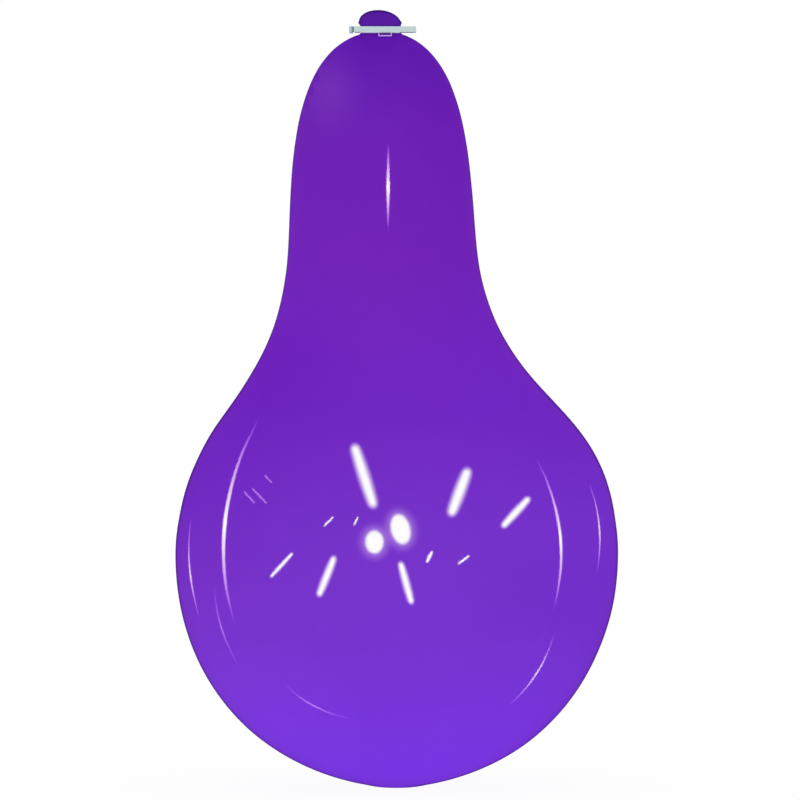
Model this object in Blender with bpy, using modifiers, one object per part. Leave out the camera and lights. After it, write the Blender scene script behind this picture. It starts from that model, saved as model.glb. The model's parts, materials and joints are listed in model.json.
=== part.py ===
"""Floating pool light: an inflated latex balloon, sealed at its neck with a
hinged plastic clip, and a ballasted, battery-driven light puck lying loose in
its bottom, so that the balloon floats and stands upright on its own weight.

Frame: metres, +Z up along the balloon, +X along the sealing clip, front of the
clip facing -Y.  The origin is the centre of the flat patch the balloon stands
on.  Run with: blender --background --python part.py
"""

import math
from collections import namedtuple

import bmesh
import bpy
from mathutils import Matrix, Vector

MM = 0.001                     # every dimension below is in millimetres

# ------------------------------------------------------------------ dimensions
# balloon
BODY_R = 203.0                 # widest radius: 406 mm, a 16 inch balloon
BODY_HALF_H = 212.0            # height of the widest place above the floor
BODY_TOP = 222.0               # the round body hands over to the neck stations here
REST_PATCH_R = 18.0            # flat patch the balloon stands on
PATCH_BLEND = 16.0             # radial width over which the patch runs into the body
BODY_LEAN = 0.4                # sideways shift of the body's upper sections
CLIP_Z0, CLIP_Z1 = 691.5, 696.9
CLIP_MID = 0.5 * (CLIP_Z0 + CLIP_Z1)
FLARE_Z = 690.7                # the gathered neck opens out below this
FLARE_DROP = 52.0              # and is round this far below it
CLAMPED_HALF_W = (18.4, 18.5)  # half width of the neck at the clip's underside and top
CLAMPED_LEAN = (-14.3, -14.6)  # its centre along X at the same places
FLAT_HALF = 0.45               # half thickness of the neck inside the clip
CLAMPED_INSET = 0.6            # wall at the folded sides of the clamped neck
TAIL_HALF_W = 19.35            # half width of the flattened mouth
TAIL_SLOPE = -0.17             # sideways shift of the mouth per mm of height
LIP_SIDE_Z = 700.5             # mouth lip at its two sides
LIP_FRONT_Z, LIP_BACK_Z = 711.9, 710.7
GAPE_FRONT, GAPE_BACK = 4.2, 5.4
WALL_BODY = 0.07               # stretched latex
WALL_NECK = 0.30               # latex hardly stretched, where it is clamped
WALL_LIP = 0.75                # rolled bead round the mouth
WALL_BLEND = 40.0              # the neck wall thins to the body wall over this drop
SECTORS = 32

# sealing clip
CLIP_X0, CLIP_X1 = -43.5, 18.05
BAR_X0, BAR_X1 = -39.0, 17.4   # the front arm's straight bar
BAR_INNER = 2.2                # distance of a bar's inner side from the mid plane
CLIP_DEPTH = 4.4               # half depth of the closed clip
BAR_BEVEL = 0.35
RAIL_X = (-36.4, 16.0)
RAIL_FACE = 0.75               # distance of a rail's face from the mid plane
ROOT = 2.7                     # rails and rib are sunk into their bar to here
RAIL_Z = {"low": (CLIP_Z0 + 0.12, CLIP_Z0 + 1.05), "top": (CLIP_Z1 - 1.05, CLIP_Z1 - 0.12)}
HINGE_X, HINGE_Y = -41.1, 0.0
KNUCKLE_R = 1.9
PIN_R, PIN_BORE_R = 0.75, 1.05
EAR_Z = {"low": (690.9, 692.8), "top": (695.3, 697.1)}
GROOVE_X0, GROOVE_Y = -40.8, 3.1  # the groove runs from here to BAR_X0
LOOP_X0, LOOP_X1, LOOP_DROP = -16.8, -4.2, 3.8
LOOP_SIDE, LOOP_FLOOR = 1.05, 1.2  # thickness beside and under the loop's eye

# light puck, heights measured from its own underside
PUCK_Z = 1.0                   # underside above the balloon's resting plane
PUCK_R = 25.0
HOUSING_WALL = 1.8
HOUSING_H = 16.2
LENS_Z0, LENS_TOP = 18.0, 33.0
LENS_WALL = 1.6
WELL_R, WELL_WALL_R = 11.1, 12.6
DOOR_HOLE_R, DOOR_R = 12.9, 12.5
LUG_ANGLES = (90.0, 210.0, 330.0)
LUG_ENTRY_TURN = 45.0          # the entry notches stand this far round from the lugs
CELL_R, CELL_H = 10.0, 3.2     # 2032 coin cells
CELL_BASES = {"lower": 3.3, "upper": 6.8}
POST_PITCH_R, POST_R = 18.7, 2.6
POST_ANGLES = (60.0, 180.0, 300.0)
BOARD_R, BOARD_Z0, BOARD_Z1 = 21.0, 13.5, 14.7
LED_PITCH_R, LED_HALF = 5.0, 2.5
LED_ANGLES = (90.0, 210.0, 330.0)
BUTTON_Z, BUTTON_R = 11.0, 2.9
GAP = 0.3                      # assembly gap between neighbouring pieces

# ------------------------------------------------------------------ scene
for old in list(bpy.data.objects):
    bpy.data.objects.remove(old, do_unlink=True)

PARTS = bpy.data.collections.new("floating_pool_light")
CUTTERS = bpy.data.collections.new("cutters")
bpy.context.scene.collection.children.link(PARTS)
bpy.context.scene.collection.children.link(CUTTERS)


# ------------------------------------------------------------------ materials
def material(name, rgb, roughness, metallic=0.0, coat=0.0, transmission=0.0):
    mat = bpy.data.materials.new(name)
    mat.use_nodes = True
    inputs = mat.node_tree.nodes["Principled BSDF"].inputs
    inputs["Base Color"].default_value = (*rgb, 1.0)
    inputs["Roughness"].default_value = roughness
    inputs["Metallic"].default_value = metallic
    inputs["Coat Weight"].default_value = coat
    inputs["Transmission Weight"].default_value = transmission
    mat.diffuse_color = (*rgb, 1.0)
    return mat


LATEX = material("purple_latex", rgb=(0.165, 0.024, 0.540), roughness=0.18, coat=0.6)
CLEAR = material("frosted_clip_plastic", rgb=(0.52, 0.63, 0.62), roughness=0.35,
                 transmission=0.3)
STEEL = material("stainless_pin_steel", rgb=(0.55, 0.54, 0.52), roughness=0.30, metallic=1.0)
ABS = material("white_housing_abs", rgb=(0.80, 0.80, 0.82), roughness=0.45)
DOOR = material("grey_door_abs", rgb=(0.55, 0.56, 0.60), roughness=0.45)
SILICONE = material("red_silicone_seal", rgb=(0.55, 0.06, 0.04), roughness=0.50)
KEYPAD = material("violet_button_silicone", rgb=(0.28, 0.08, 0.55), roughness=0.55)
CELL = material("nickel_cell_can", rgb=(0.70, 0.70, 0.72), roughness=0.28, metallic=1.0)
CONTACT = material("nickel_contact", rgb=(0.75, 0.70, 0.55), roughness=0.30, metallic=1.0)
ZINC = material("zinc_ballast_steel", rgb=(0.45, 0.46, 0.48), roughness=0.42, metallic=1.0)
BOARD = material("green_solder_mask", rgb=(0.02, 0.22, 0.10), roughness=0.35)
LED_CASE = material("led_case", rgb=(0.88, 0.86, 0.72), roughness=0.30)
CHIP = material("chip_epoxy", rgb=(0.02, 0.02, 0.022), roughness=0.55)
CERAMIC = material("capacitor_ceramic", rgb=(0.50, 0.36, 0.20), roughness=0.50)
SWITCH = material("switch_nylon", rgb=(0.05, 0.05, 0.055), roughness=0.50)
PLUNGER = material("switch_plunger_acetal", rgb=(0.75, 0.73, 0.68), roughness=0.40)
REFLECT = material("white_reflector", rgb=(0.85, 0.86, 0.88), roughness=0.18)
LENS = material("frosted_lens", rgb=(0.88, 0.89, 0.93), roughness=0.30, transmission=0.5)
SCREW = material("zinc_screw_steel", rgb=(0.60, 0.60, 0.58), roughness=0.30, metallic=1.0)


# ------------------------------------------------------------------ helpers
def add_object(name, data, mat=None):
    """A part of the product, or a hidden boolean cutter when it has no material."""
    obj = bpy.data.objects.new(name, data)
    if mat is None:
        CUTTERS.objects.link(obj)
        obj.hide_render = True
        obj.display_type = "WIRE"
    else:
        PARTS.objects.link(obj)
        data.materials.append(mat)
    return obj


def mesh_object(name, build, mat=None):
    """An object whose mesh is filled in by build(bm), its faces turned outwards."""
    bm = bmesh.new()
    build(bm)
    bmesh.ops.recalc_face_normals(bm, faces=bm.faces)
    mesh = bpy.data.meshes.new(name)
    bm.to_mesh(mesh)
    bm.free()
    return add_object(name, mesh, mat)


def block(name, x, y, z, mat=None, bevel=0.0, segments=2):
    """A box between the millimetre limits x, y and z, edges rounded by bevel."""
    size = Vector([(high - low) * MM for low, high in (x, y, z)])
    centre = Vector([(low + high) * 0.5 * MM for low, high in (x, y, z)])

    def build(bm):
        bmesh.ops.create_cube(bm, size=1.0)
        bmesh.ops.scale(bm, vec=size, verts=bm.verts)
        if bevel:
            bmesh.ops.bevel(bm, geom=bm.edges[:], offset=bevel * MM,
                            segments=segments, profile=0.5, affect="EDGES")
        bmesh.ops.translate(bm, vec=centre, verts=bm.verts)

    return mesh_object(name, build, mat)


def rod(name, radius, start, end, mat=None, segments=20, end_radius=None):
    """A cylinder or cone between two millimetre points."""
    low, high = Vector(start) * MM, Vector(end) * MM
    axis = high - low
    turn = Vector((0, 0, 1)).rotation_difference(axis.normalized()).to_matrix().to_4x4()
    if end_radius is None:
        end_radius = radius

    def build(bm):
        bmesh.ops.create_cone(bm, cap_ends=True, segments=segments, radius1=radius * MM,
                              radius2=end_radius * MM, depth=axis.length,
                              matrix=Matrix.Translation((low + high) / 2) @ turn)

    return mesh_object(name, build, mat)


def puck_block(name, x, y, z, mat=None, **options):
    """A block with its heights measured from the puck's underside."""
    return block(name, x, y, (PUCK_Z + z[0], PUCK_Z + z[1]), mat, **options)


def puck_rod(name, radius, start, end, mat=None, **options):
    """A rod with its heights measured from the puck's underside."""
    start, end = ((x, y, PUCK_Z + z) for x, y, z in (start, end))
    return rod(name, radius, start, end, mat, **options)


def turned(name, profile, mat=None, steps=28, base=0.0):
    """A piece of the puck turned about +Z by a Screw modifier.

    The profile holds (radius, height) points, heights from base above the
    puck's underside.  It is left open when it starts and ends on the axis."""
    loop = list(profile)
    area = sum(r0 * z1 - r1 * z0
               for (r0, z0), (r1, z1) in zip(loop, loop[1:] + loop[:1]))
    if area > 0:                                # wind every profile the same way
        loop.reverse()
    count = len(loop)
    edges = [(i, i + 1) for i in range(count - 1)]
    if loop[0][0] > 0:
        edges.append((count - 1, 0))
    mesh = bpy.data.meshes.new(name)
    mesh.from_pydata([(radius * MM, 0.0, height * MM) for radius, height in loop], edges, [])
    obj = add_object(name, mesh, mat)
    obj.location.z = (PUCK_Z + base) * MM
    screw = obj.modifiers.new("turn", "SCREW")
    screw.axis = "Z"
    screw.angle = math.tau
    screw.steps = screw.render_steps = steps
    screw.use_merge_vertices = True
    screw.merge_threshold = 0.00001
    return obj


def ring_seal(name, major, minor, base, steps=28, sides=6):
    """An O-ring, turned from a round section."""
    section = [(major + minor * math.cos(math.tau * i / sides),
                minor * math.sin(math.tau * i / sides)) for i in range(sides)]
    return turned(name, section, SILICONE, steps=steps, base=base)


def boolean(obj, other, operation):
    modifier = obj.modifiers.new(operation.lower(), "BOOLEAN")
    modifier.operation = operation
    modifier.solver = "EXACT"
    modifier.object = other


def cut(obj, other):
    boolean(obj, other, "DIFFERENCE")


def join(obj, other):
    boolean(obj, other, "UNION")


def polar(radius, degrees):
    angle = math.radians(degrees)
    return (radius * math.cos(angle), radius * math.sin(angle))


def spin(obj, degrees):
    """Turn the mesh of an object built on +X about the puck's axis."""
    obj.data.transform(Matrix.Rotation(math.radians(degrees), 4, "Z"))
    return obj


def place(obj, radius, degrees, turn):
    """Move an object built on the puck's axis out to a polar place, turned on the spot."""
    obj.location = Vector((*polar(radius, degrees), 0)) * MM
    obj.rotation_euler.z = math.radians(turn)


def clamp01(t):
    return min(max(t, 0.0), 1.0)


def smoothstep(t):
    t = clamp01(t)
    return t * t * (3.0 - 2.0 * t)


def lerp(a, b, t):
    return a + (b - a) * t


def adopt(parent, *children):
    """Parent the children, keeping where they stand."""
    bpy.context.view_layer.update()
    for child in children:
        world = child.matrix_world.copy()
        child.parent = parent
        child.matrix_parent_inverse = parent.matrix_world.inverted()
        child.matrix_world = world


def empty(name, location, parent):
    obj = bpy.data.objects.new(name, None)
    obj.empty_display_size = 0.01
    obj.location = Vector(location) * MM
    PARTS.objects.link(obj)
    adopt(parent, obj)
    return obj


def set_origin(obj, point):
    """Move the object's origin to a millimetre point, its shape staying put."""
    shift = Vector(point) * MM - obj.location
    obj.data.transform(Matrix.Translation(-shift))
    obj.location = obj.location + shift


# ------------------------------------------------------------------ balloon
# Design stations of the neck, above the round body: height, radius and how far
# the section's centre stands to the side.  Between them the shape follows a
# centripetal Catmull-Rom curve.
NECK_STATIONS = (
    (235.0, 201.7, 0.4), (263.0, 196.8, 0.8), (290.0, 188.0, 1.0),
    (308.0, 179.5, 0.6), (327.0, 167.8, -0.4), (345.0, 153.8, -1.8),
    (363.0, 139.0, -4.0), (381.5, 125.3, -6.2), (400.0, 113.8, -8.0),
    (418.0, 104.6, -9.4), (437.0, 97.5, -10.6), (455.0, 92.5, -11.6),
    (482.0, 87.7, -12.5), (510.0, 85.4, -13.2), (538.0, 83.8, -13.7),
    (565.0, 81.6, -14.2), (584.0, 79.5, -14.4), (602.0, 76.6, -14.6),
    (620.0, 72.5, -14.7), (638.5, 66.6, -14.8), (657.0, 57.9, -14.8),
    (666.0, 51.9, -14.8), (675.0, 44.1, -14.8), (680.6, 37.7, -14.7),
    (684.3, 32.1, -14.6), (686.9, 27.0, -14.5), (688.7, 22.8, -14.4),
    (689.9, 19.7, -14.3), (CLIP_Z0, CLAMPED_HALF_W[0], CLAMPED_LEAN[0]),
)
# station numbers at which the neck gets a ring of vertices
NECK_SAMPLES = (1.2, 2.5, 4, 5.5, 7, 8.5, 10, 12, 14, 16, 18, 19.5, 21, 22.5, 24, 25.5, 27, 28)
# clamped sections: height from the clip's middle, shift along Y
CLAMPED_SECTIONS = ((-1.55, 0.0), (-0.75, -0.9), (0.75, -0.9), (1.55, 0.0), (2.9, 0.0))
TAIL_SAMPLES = (0.3, 0.65, 1.0)  # from the clip (0) to the lip (1)
BODY_SPANS = 8

Ring = namedtuple("Ring", "z half_x half_y centre_x centre_y wall")


def catmull(p0, p1, p2, p3, t):
    """Centripetal Catmull-Rom between p1 and p2."""
    def knot(last, start, end):
        return last + math.dist(start[:2], end[:2]) ** 0.5

    k0 = 0.0
    k1 = knot(k0, p0, p1)
    k2 = knot(k1, p1, p2)
    k3 = knot(k2, p2, p3)
    k = lerp(k1, k2, t)

    def mix(start, end, ka, kb):
        return tuple(((kb - k) * u + (k - ka) * v) / (kb - ka) for u, v in zip(start, end))

    a1, a2, a3 = mix(p0, p1, k0, k1), mix(p1, p2, k1, k2), mix(p2, p3, k2, k3)
    b1, b2 = mix(a1, a2, k0, k2), mix(a2, a3, k1, k3)
    return mix(b1, b2, k1, k2)


def neck_point(u):
    """Height, radius and lean at station number u."""
    def beyond(end, neighbour):
        """The station past an end, mirrored from its neighbour."""
        return tuple(2 * a - b for a, b in zip(end, neighbour))

    stations = NECK_STATIONS
    padded = (beyond(stations[0], stations[1]), *stations, beyond(stations[-1], stations[-2]))
    i = min(int(u), len(stations) - 2)
    return catmull(*padded[i:i + 4], u - i)


def body_point(angle):
    """Height, radius and lean of the round body, by its angle up from the bottom."""
    radius = BODY_R * math.sin(angle)
    z = BODY_HALF_H * (1.0 - math.cos(angle))
    patch = BODY_HALF_H * (1.0 - math.sqrt(1.0 - (REST_PATCH_R / BODY_R) ** 2))
    z -= patch * (1.0 - smoothstep((radius - REST_PATCH_R) / PATCH_BLEND))
    return (z, radius, BODY_LEAN * smoothstep((z - 100.0) / 120.0))


def envelope_rings():
    """Outer sections from the floor to just above the clip."""
    start = math.asin(REST_PATCH_R / BODY_R)
    end = math.acos(1.0 - BODY_TOP / BODY_HALF_H)
    outline = []
    for i in range(BODY_SPANS + 1):
        t = i / BODY_SPANS
        # rings stand closer together near the floor
        outline.append(body_point(lerp(start, end, 0.55 * t * t + 0.45 * t)))
    outline += [neck_point(u) for u in NECK_SAMPLES]

    rings = []
    for z, radius, lean in outline:
        fullness = 1.0 - (1.0 - clamp01((FLARE_Z - z) / FLARE_DROP)) ** 2
        half_y = min(FLAT_HALF + radius * fullness, radius)
        wall = lerp(WALL_NECK, WALL_BODY, smoothstep((CLIP_Z0 - z) / WALL_BLEND))
        rings.append(Ring(z, radius, half_y, lean, 0.0, wall))
    # inside the clip: the back arm's rib presses the neck into the front arm's channel
    for height, shift_y in CLAMPED_SECTIONS:
        z = CLIP_MID + height
        t = (z - CLIP_Z0) / (CLIP_Z1 - CLIP_Z0)
        rings.append(Ring(z, lerp(*CLAMPED_HALF_W, t), FLAT_HALF, lerp(*CLAMPED_LEAN, t),
                          shift_y, WALL_NECK))
    return rings


def ring_normals(rings):
    """Outward direction (radial, up) of the profile at each ring."""
    normals = [(0.0, -1.0)]                     # the flat patch faces down
    for i in range(1, len(rings)):
        below, above = rings[i - 1], rings[min(i + 1, len(rings) - 1)]
        rise, spread = above.z - below.z, above.half_x - below.half_x
        length = math.hypot(rise, spread)
        normals.append((rise / length, -spread / length))
    return normals


def inner_ring(ring, normal):
    """The inner wall's section beside an outer section below the clip."""
    out, up = normal
    # close under the clip the wall is set off sideways, elsewhere square to the surface
    square = smoothstep((CLIP_Z0 - ring.z) / 6.0)
    return ring._replace(half_x=ring.half_x - ring.wall * lerp(1.6, out, square),
                         half_y=ring.half_y - ring.wall * lerp(1.0, out, square),
                         z=ring.z - ring.wall * up * square)


def clamped_inner_ring(ring):
    return ring._replace(half_x=ring.half_x - CLAMPED_INSET, half_y=ring.half_y - ring.wall)


def ring_point(ring, turn):
    return ((ring.centre_x + ring.half_x * math.cos(turn)) * MM,
            (ring.centre_y + ring.half_y * math.sin(turn)) * MM, ring.z * MM)


def tail_point(k, turn, inner):
    """The mouth above the clip: k runs from the clip (0) to the lip (1)."""
    side = math.sin(turn)                       # negative on the front wall
    top, gape = (LIP_FRONT_Z, GAPE_FRONT) if side < 0 else (LIP_BACK_Z, GAPE_BACK)
    lip_z = lerp(LIP_SIDE_Z, top, abs(side))
    z = lerp(CLIP_Z1 + 0.05, lip_z, k)
    half_x = lerp(CLAMPED_HALF_W[1], TAIL_HALF_W, math.sin(k * math.pi / 2))
    half_y = lerp(FLAT_HALF, gape, k * k * (1.5 - 0.5 * k))
    if inner:
        wall = lerp(WALL_NECK, WALL_LIP, smoothstep((k - 0.55) / 0.45))
        half_x -= CLAMPED_INSET + wall * 0.6
        half_y -= wall * lerp(1.0, 1.1, k)
        z -= 0.10 * k
    lean = CLAMPED_LEAN[1] + TAIL_SLOPE * (z - CLIP_Z1)
    return ((lean + half_x * math.cos(turn)) * MM, half_y * side * MM, z * MM)


def fill_envelope(bm):
    rings = envelope_rings()
    first_clamped = len(rings) - len(CLAMPED_SECTIONS) - 1  # the ring at the clip's underside
    inner_rings = [clamped_inner_ring(ring) if i >= first_clamped else inner_ring(ring, normal)
                   for i, (ring, normal) in enumerate(zip(rings, ring_normals(rings)))]
    turns = [math.tau * i / SECTORS for i in range(SECTORS)]

    def rows_of(sections, inner):
        points = [[ring_point(ring, turn) for turn in turns] for ring in sections]
        points += [[tail_point(k, turn, inner) for turn in turns] for k in TAIL_SAMPLES]
        return [[bm.verts.new(point) for point in row] for row in points]

    def bridge(low, high):
        for j in range(SECTORS):
            n = (j + 1) % SECTORS
            bm.faces.new((low[j], low[n], high[n], high[j]))

    outer, inner = rows_of(rings, False), rows_of(inner_rings, True)
    for rows in (outer, inner):
        for low, high in zip(rows, rows[1:]):
            bridge(low, high)
        bm.faces.new(rows[0])                   # the flat patch
    bridge(outer[-1], inner[-1])                # the lip


# ------------------------------------------------------------------ clip
def hinge_rod(name, radius, z0, z1, mat=None):
    return rod(name, radius, (HINGE_X, HINGE_Y, z0), (HINGE_X, HINGE_Y, z1), mat)


def add_rails(arm, stem, y):
    """Two long rails on the arm's inner side."""
    for side, z in RAIL_Z.items():
        join(arm, block(f"{stem}_{side}", RAIL_X, y, z, bevel=0.2, segments=1))


def build_front_arm():
    """A bar with rails, an end cheek, two hinge ears joined by a wall, and a tether loop."""
    arm = block("clip_front_arm", (BAR_X0, BAR_X1), (-CLIP_DEPTH, -BAR_INNER),
                (CLIP_Z0, CLIP_Z1), CLEAR, bevel=BAR_BEVEL)
    add_rails(arm, "front_rail", (-ROOT, -RAIL_FACE))
    join(arm, block("front_cheek", (16.95, CLIP_X1), (-CLIP_DEPTH + 0.02, 3.5),
                    (CLIP_Z0 + 0.02, CLIP_Z1 - 0.02), bevel=0.3))
    for side, z in EAR_Z.items():
        join(arm, block(f"ear_{side}", (CLIP_X0 + 0.2, -39.9), (-3.3, 1.9), z, bevel=0.4))
    join(arm, block("ear_wall", (CLIP_X0, GROOVE_X0), (-CLIP_DEPTH + 0.05, -2.5),
                    (EAR_Z["low"][0] + 0.02, EAR_Z["top"][1] - 0.02), bevel=0.4))
    # recessed floor of the upright groove that parts the ears' wall from the bar
    join(arm, block("groove_floor", (GROOVE_X0 - 0.9, -37.6), (-GROOVE_Y, -2.45),
                    (CLIP_Z0 + 0.15, CLIP_Z1 - 0.15)))
    join(arm, block("loop_outer", (LOOP_X0, LOOP_X1), (-CLIP_DEPTH + 0.1, -3.4),
                    (CLIP_Z0 - LOOP_DROP, CLIP_Z0 + 1.0), bevel=0.3))
    cut(arm, block("loop_eye", (LOOP_X0 + LOOP_SIDE, LOOP_X1 - LOOP_SIDE), (-6.0, -2.6),
                   (CLIP_Z0 - LOOP_DROP + LOOP_FLOOR, CLIP_Z0 - 0.05)))
    cut(arm, hinge_rod("front_pin_bore", PIN_BORE_R, 688.0, 700.0))
    return arm


def build_back_arm():
    """A bar with pads, a centre rib and one hinge knuckle between the ears."""
    arm = block("clip_back_arm", (-38.3, 16.6), (BAR_INNER, CLIP_DEPTH), (CLIP_Z0, CLIP_Z1),
                CLEAR, bevel=BAR_BEVEL)
    add_rails(arm, "back_pad", (RAIL_FACE, ROOT))
    join(arm, block("back_rib", (-36.0, 15.4), (-0.15, ROOT),
                    (CLIP_MID - 0.45, CLIP_MID + 0.45), bevel=0.15, segments=1))
    low, high = EAR_Z["low"][1] + GAP, EAR_Z["top"][0] - GAP
    join(arm, hinge_rod("back_knuckle", KNUCKLE_R, low, high))
    join(arm, block("back_web", (HINGE_X, -37.4), (0.7, 3.2), (low + 0.1, high - 0.1)))
    cut(arm, hinge_rod("back_pin_bore", PIN_BORE_R, 688.0, 700.0))
    return arm


# ------------------------------------------------------------------ puck: housing and battery
POST_CENTRES = [polar(POST_PITCH_R, angle) for angle in POST_ANGLES]


def build_housing():
    """A cup with a battery well open below, screw posts and a hole for the button."""
    bore_r = PUCK_R - HOUSING_WALL
    housing = turned("base_housing", (
        (0.0, 13.0), (WELL_WALL_R, 13.0), (WELL_WALL_R, 4.9), (15.0, 4.1), (15.0, 2.0),
        (bore_r - 1.0, 2.0), (bore_r, 3.2), (bore_r, HOUSING_H), (PUCK_R, HOUSING_H),
        (PUCK_R, 4.0), (24.6, 2.2), (23.4, 0.8), (21.5, 0.0), (DOOR_HOLE_R, 0.0),
        (DOOR_HOLE_R, 3.0), (WELL_R, 3.0), (WELL_R, 11.8), (0.0, 11.8)), ABS, steps=36)
    # groove and three entry notches for the door's bayonet lugs
    cut(housing, turned("lug_groove", ((14.0, 1.9), (14.0, 0.65), (12.4, 0.65), (12.4, 1.9)),
                        steps=36))
    for n, angle in enumerate(LUG_ANGLES):
        notch = puck_block(f"lug_entry_{n}", (12.3, 14.0), (-2.4, 2.4), (-0.5, 1.2))
        cut(housing, spin(notch, angle + LUG_ENTRY_TURN))
    for n, centre in enumerate(POST_CENTRES):
        join(housing, puck_rod(f"post_{n}", POST_R, (*centre, 1.2), (*centre, 13.2),
                               segments=16))
        cut(housing, puck_rod(f"post_hole_{n}", 1.2, (*centre, 5.0), (*centre, 14.0),
                              segments=12))
    cut(housing, puck_rod("button_hole", BUTTON_R + 0.35, (21.5, 0, BUTTON_Z),
                          (27.0, 0, BUTTON_Z)))
    cut(housing, puck_rod("spring_tail_hole", 1.2, (0, 0, 11.0), (0, 0, 14.0), segments=16))
    cut(housing, puck_block("strip_slot", (9.9, 11.0), (-2.0, 2.0), (11.2, 13.6)))


def build_door():
    """The battery door with its bayonet lugs and coin slot, and its seal."""
    door = turned("battery_door", (
        (0.0, 3.0), (9.0, 3.0), (9.0, 1.5), (DOOR_R, 1.5), (DOOR_R, 0.5), (DOOR_R - 0.4, 0.1),
        (0.0, 0.1)), DOOR, steps=36)
    for n, angle in enumerate(LUG_ANGLES):
        lug = puck_block(f"door_lug_{n}", (11.6, 13.7), (-2.0, 2.0), (0.95, 1.48))
        join(door, spin(lug, angle))
    cut(door, puck_block("coin_slot", (-7.0, 7.0), (-0.8, 0.8), (-0.5, 1.0)))
    adopt(door, ring_seal("door_seal", major=12.0, minor=0.45, base=2.25))


def build_cells():
    for place_name, base in CELL_BASES.items():
        turned(f"battery_cell_{place_name}", (
            (0.0, CELL_H), (8.6, CELL_H), (9.0, CELL_H - 0.35), (CELL_R - 0.3, CELL_H - 0.35),
            (CELL_R, CELL_H - 0.7), (CELL_R, 0.3), (CELL_R - 0.3, 0.0), (0.0, 0.0)),
            CELL, base=base)


def build_spring():
    """A conical coil, wide at the bottom."""
    turn_count, per_turn = 2, 10
    steps = turn_count * per_turn
    coil = bpy.data.curves.new("battery_spring", "CURVE")
    coil.dimensions = "3D"
    coil.bevel_depth = 0.22 * MM
    coil.bevel_resolution = 2
    coil.render_resolution_u = 0
    coil.use_fill_caps = True
    line = coil.splines.new("POLY")
    line.points.add(steps)
    for i, point in enumerate(line.points):
        radius = lerp(3.9, 1.8, i / steps)
        height = lerp(10.55, 11.5, i / steps)
        angle = math.tau * i / per_turn
        point.co = (radius * math.cos(angle) * MM, radius * math.sin(angle) * MM,
                    (PUCK_Z + height) * MM, 1.0)
    add_object("battery_spring", coil, CONTACT)


def build_positive_strip():
    strip = puck_block("positive_strip", (10.3, 10.6), (-1.5, 1.5), (3.6, 13.2), CONTACT)
    set_origin(strip, (10.45, 0, PUCK_Z + 8.0))


def build_ballast():
    ballast = turned("ballast_ring", ((22.7, 6.6), (22.7, 3.4), (22.0, 2.4), (15.4, 2.4),
                                      (15.4, 7.0), (22.3, 7.0)), ZINC, steps=36)
    for n, centre in enumerate(POST_CENTRES):
        cut(ballast, puck_rod(f"ballast_hole_{n}", POST_R + 0.4, (*centre, 0), (*centre, 9),
                              segments=16))


# ------------------------------------------------------------------ puck: circuit board
def build_board():
    board = turned("circuit_board", ((0.0, BOARD_Z1), (BOARD_R, BOARD_Z1),
                                     (BOARD_R, BOARD_Z0), (0.0, BOARD_Z0)), BOARD, steps=36)
    for n, centre in enumerate(POST_CENTRES):
        cut(board, puck_rod(f"board_hole_{n}", 1.4, (*centre, 12), (*centre, 16), segments=12))


def build_board_screw(n, centre):
    """A cross-head screw through the board into a post."""
    x, y = centre
    screw = puck_rod(f"board_screw_{n + 1}", 0.9, (x, y, 6.0), (x, y, 15.2), SCREW, segments=12)
    join(screw, puck_rod(f"screw_head_{n}", 1.8, (x, y, 15.0), (x, y, 16.3),
                         segments=16, end_radius=1.5))
    for axis, (half_x, half_y) in enumerate(((1.1, 0.22), (0.22, 1.1))):
        cut(screw, puck_block(f"screw_cross_{n}_{axis}", (x - half_x, x + half_x),
                              (y - half_y, y + half_y), (15.6, 16.8)))


def build_led(n, angle):
    """A square LED case with a conical window in its top."""
    x, y = polar(LED_PITCH_R, angle)
    led = puck_block(f"led_{n + 1}", (x - LED_HALF, x + LED_HALF), (y - LED_HALF, y + LED_HALF),
                     (15.0, 16.6), LED_CASE, bevel=0.12, segments=1)
    cut(led, puck_rod(f"led_window_{n}", 1.7, (x, y, 16.1), (x, y, 17.0),
                      segments=16, end_radius=2.2))


def fill_leads(bm):
    """Eight leads of the chip, as separate bars that join its body."""
    size, pitch = Vector((0.4, 1.3, 0.25)), 1.27
    for k in range(4):
        for side in (-1, 1):
            verts = bmesh.ops.create_cube(bm, size=1.0)["verts"]
            bmesh.ops.scale(bm, vec=size * MM, verts=verts)
            centre = Vector((-1.9 + pitch * k, side * 2.45, PUCK_Z + 12.65))
            bmesh.ops.translate(bm, vec=centre * MM, verts=verts)


def build_under_board():
    """The driver chip, resistor and capacitor on the board's underside."""
    chip = puck_block("driver_chip", (-2.5, 2.5), (-2.0, 2.0), (11.5, 13.0), CHIP,
                      bevel=0.15, segments=1)
    leads = mesh_object("chip_leads", fill_leads)
    join(chip, leads)
    for obj in (chip, leads):
        place(obj, radius=17.6, degrees=120.0, turn=30.0)
    resistor = puck_block("resistor", (-1.0, 1.0), (-0.62, 0.62), (12.65, 13.2), CHIP,
                          bevel=0.08, segments=1)
    place(resistor, radius=16.0, degrees=225.0, turn=45.0)
    capacitor = puck_block("capacitor", (-1.6, 1.6), (-0.8, 0.8), (11.8, 13.2), CERAMIC,
                           bevel=0.12, segments=1)
    place(capacitor, radius=17.5, degrees=250.0, turn=-20.0)


def build_switch():
    """The switch body, bored along X, and its plunger, which is returned."""
    body = puck_block("switch_body", (15.2, 20.0), (-3.0, 3.0), (9.0, 13.2), SWITCH,
                      bevel=0.25, segments=1)
    cut(body, puck_rod("switch_bore", 1.35, (17.5, 0, BUTTON_Z), (20.6, 0, BUTTON_Z),
                       segments=16))
    plunger = puck_rod("switch_plunger", 1.0, (18.3, 0, BUTTON_Z), (21.5, 0, BUTTON_Z), PLUNGER)
    set_origin(plunger, (20.0, 0, PUCK_Z + BUTTON_Z))
    return plunger


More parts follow.
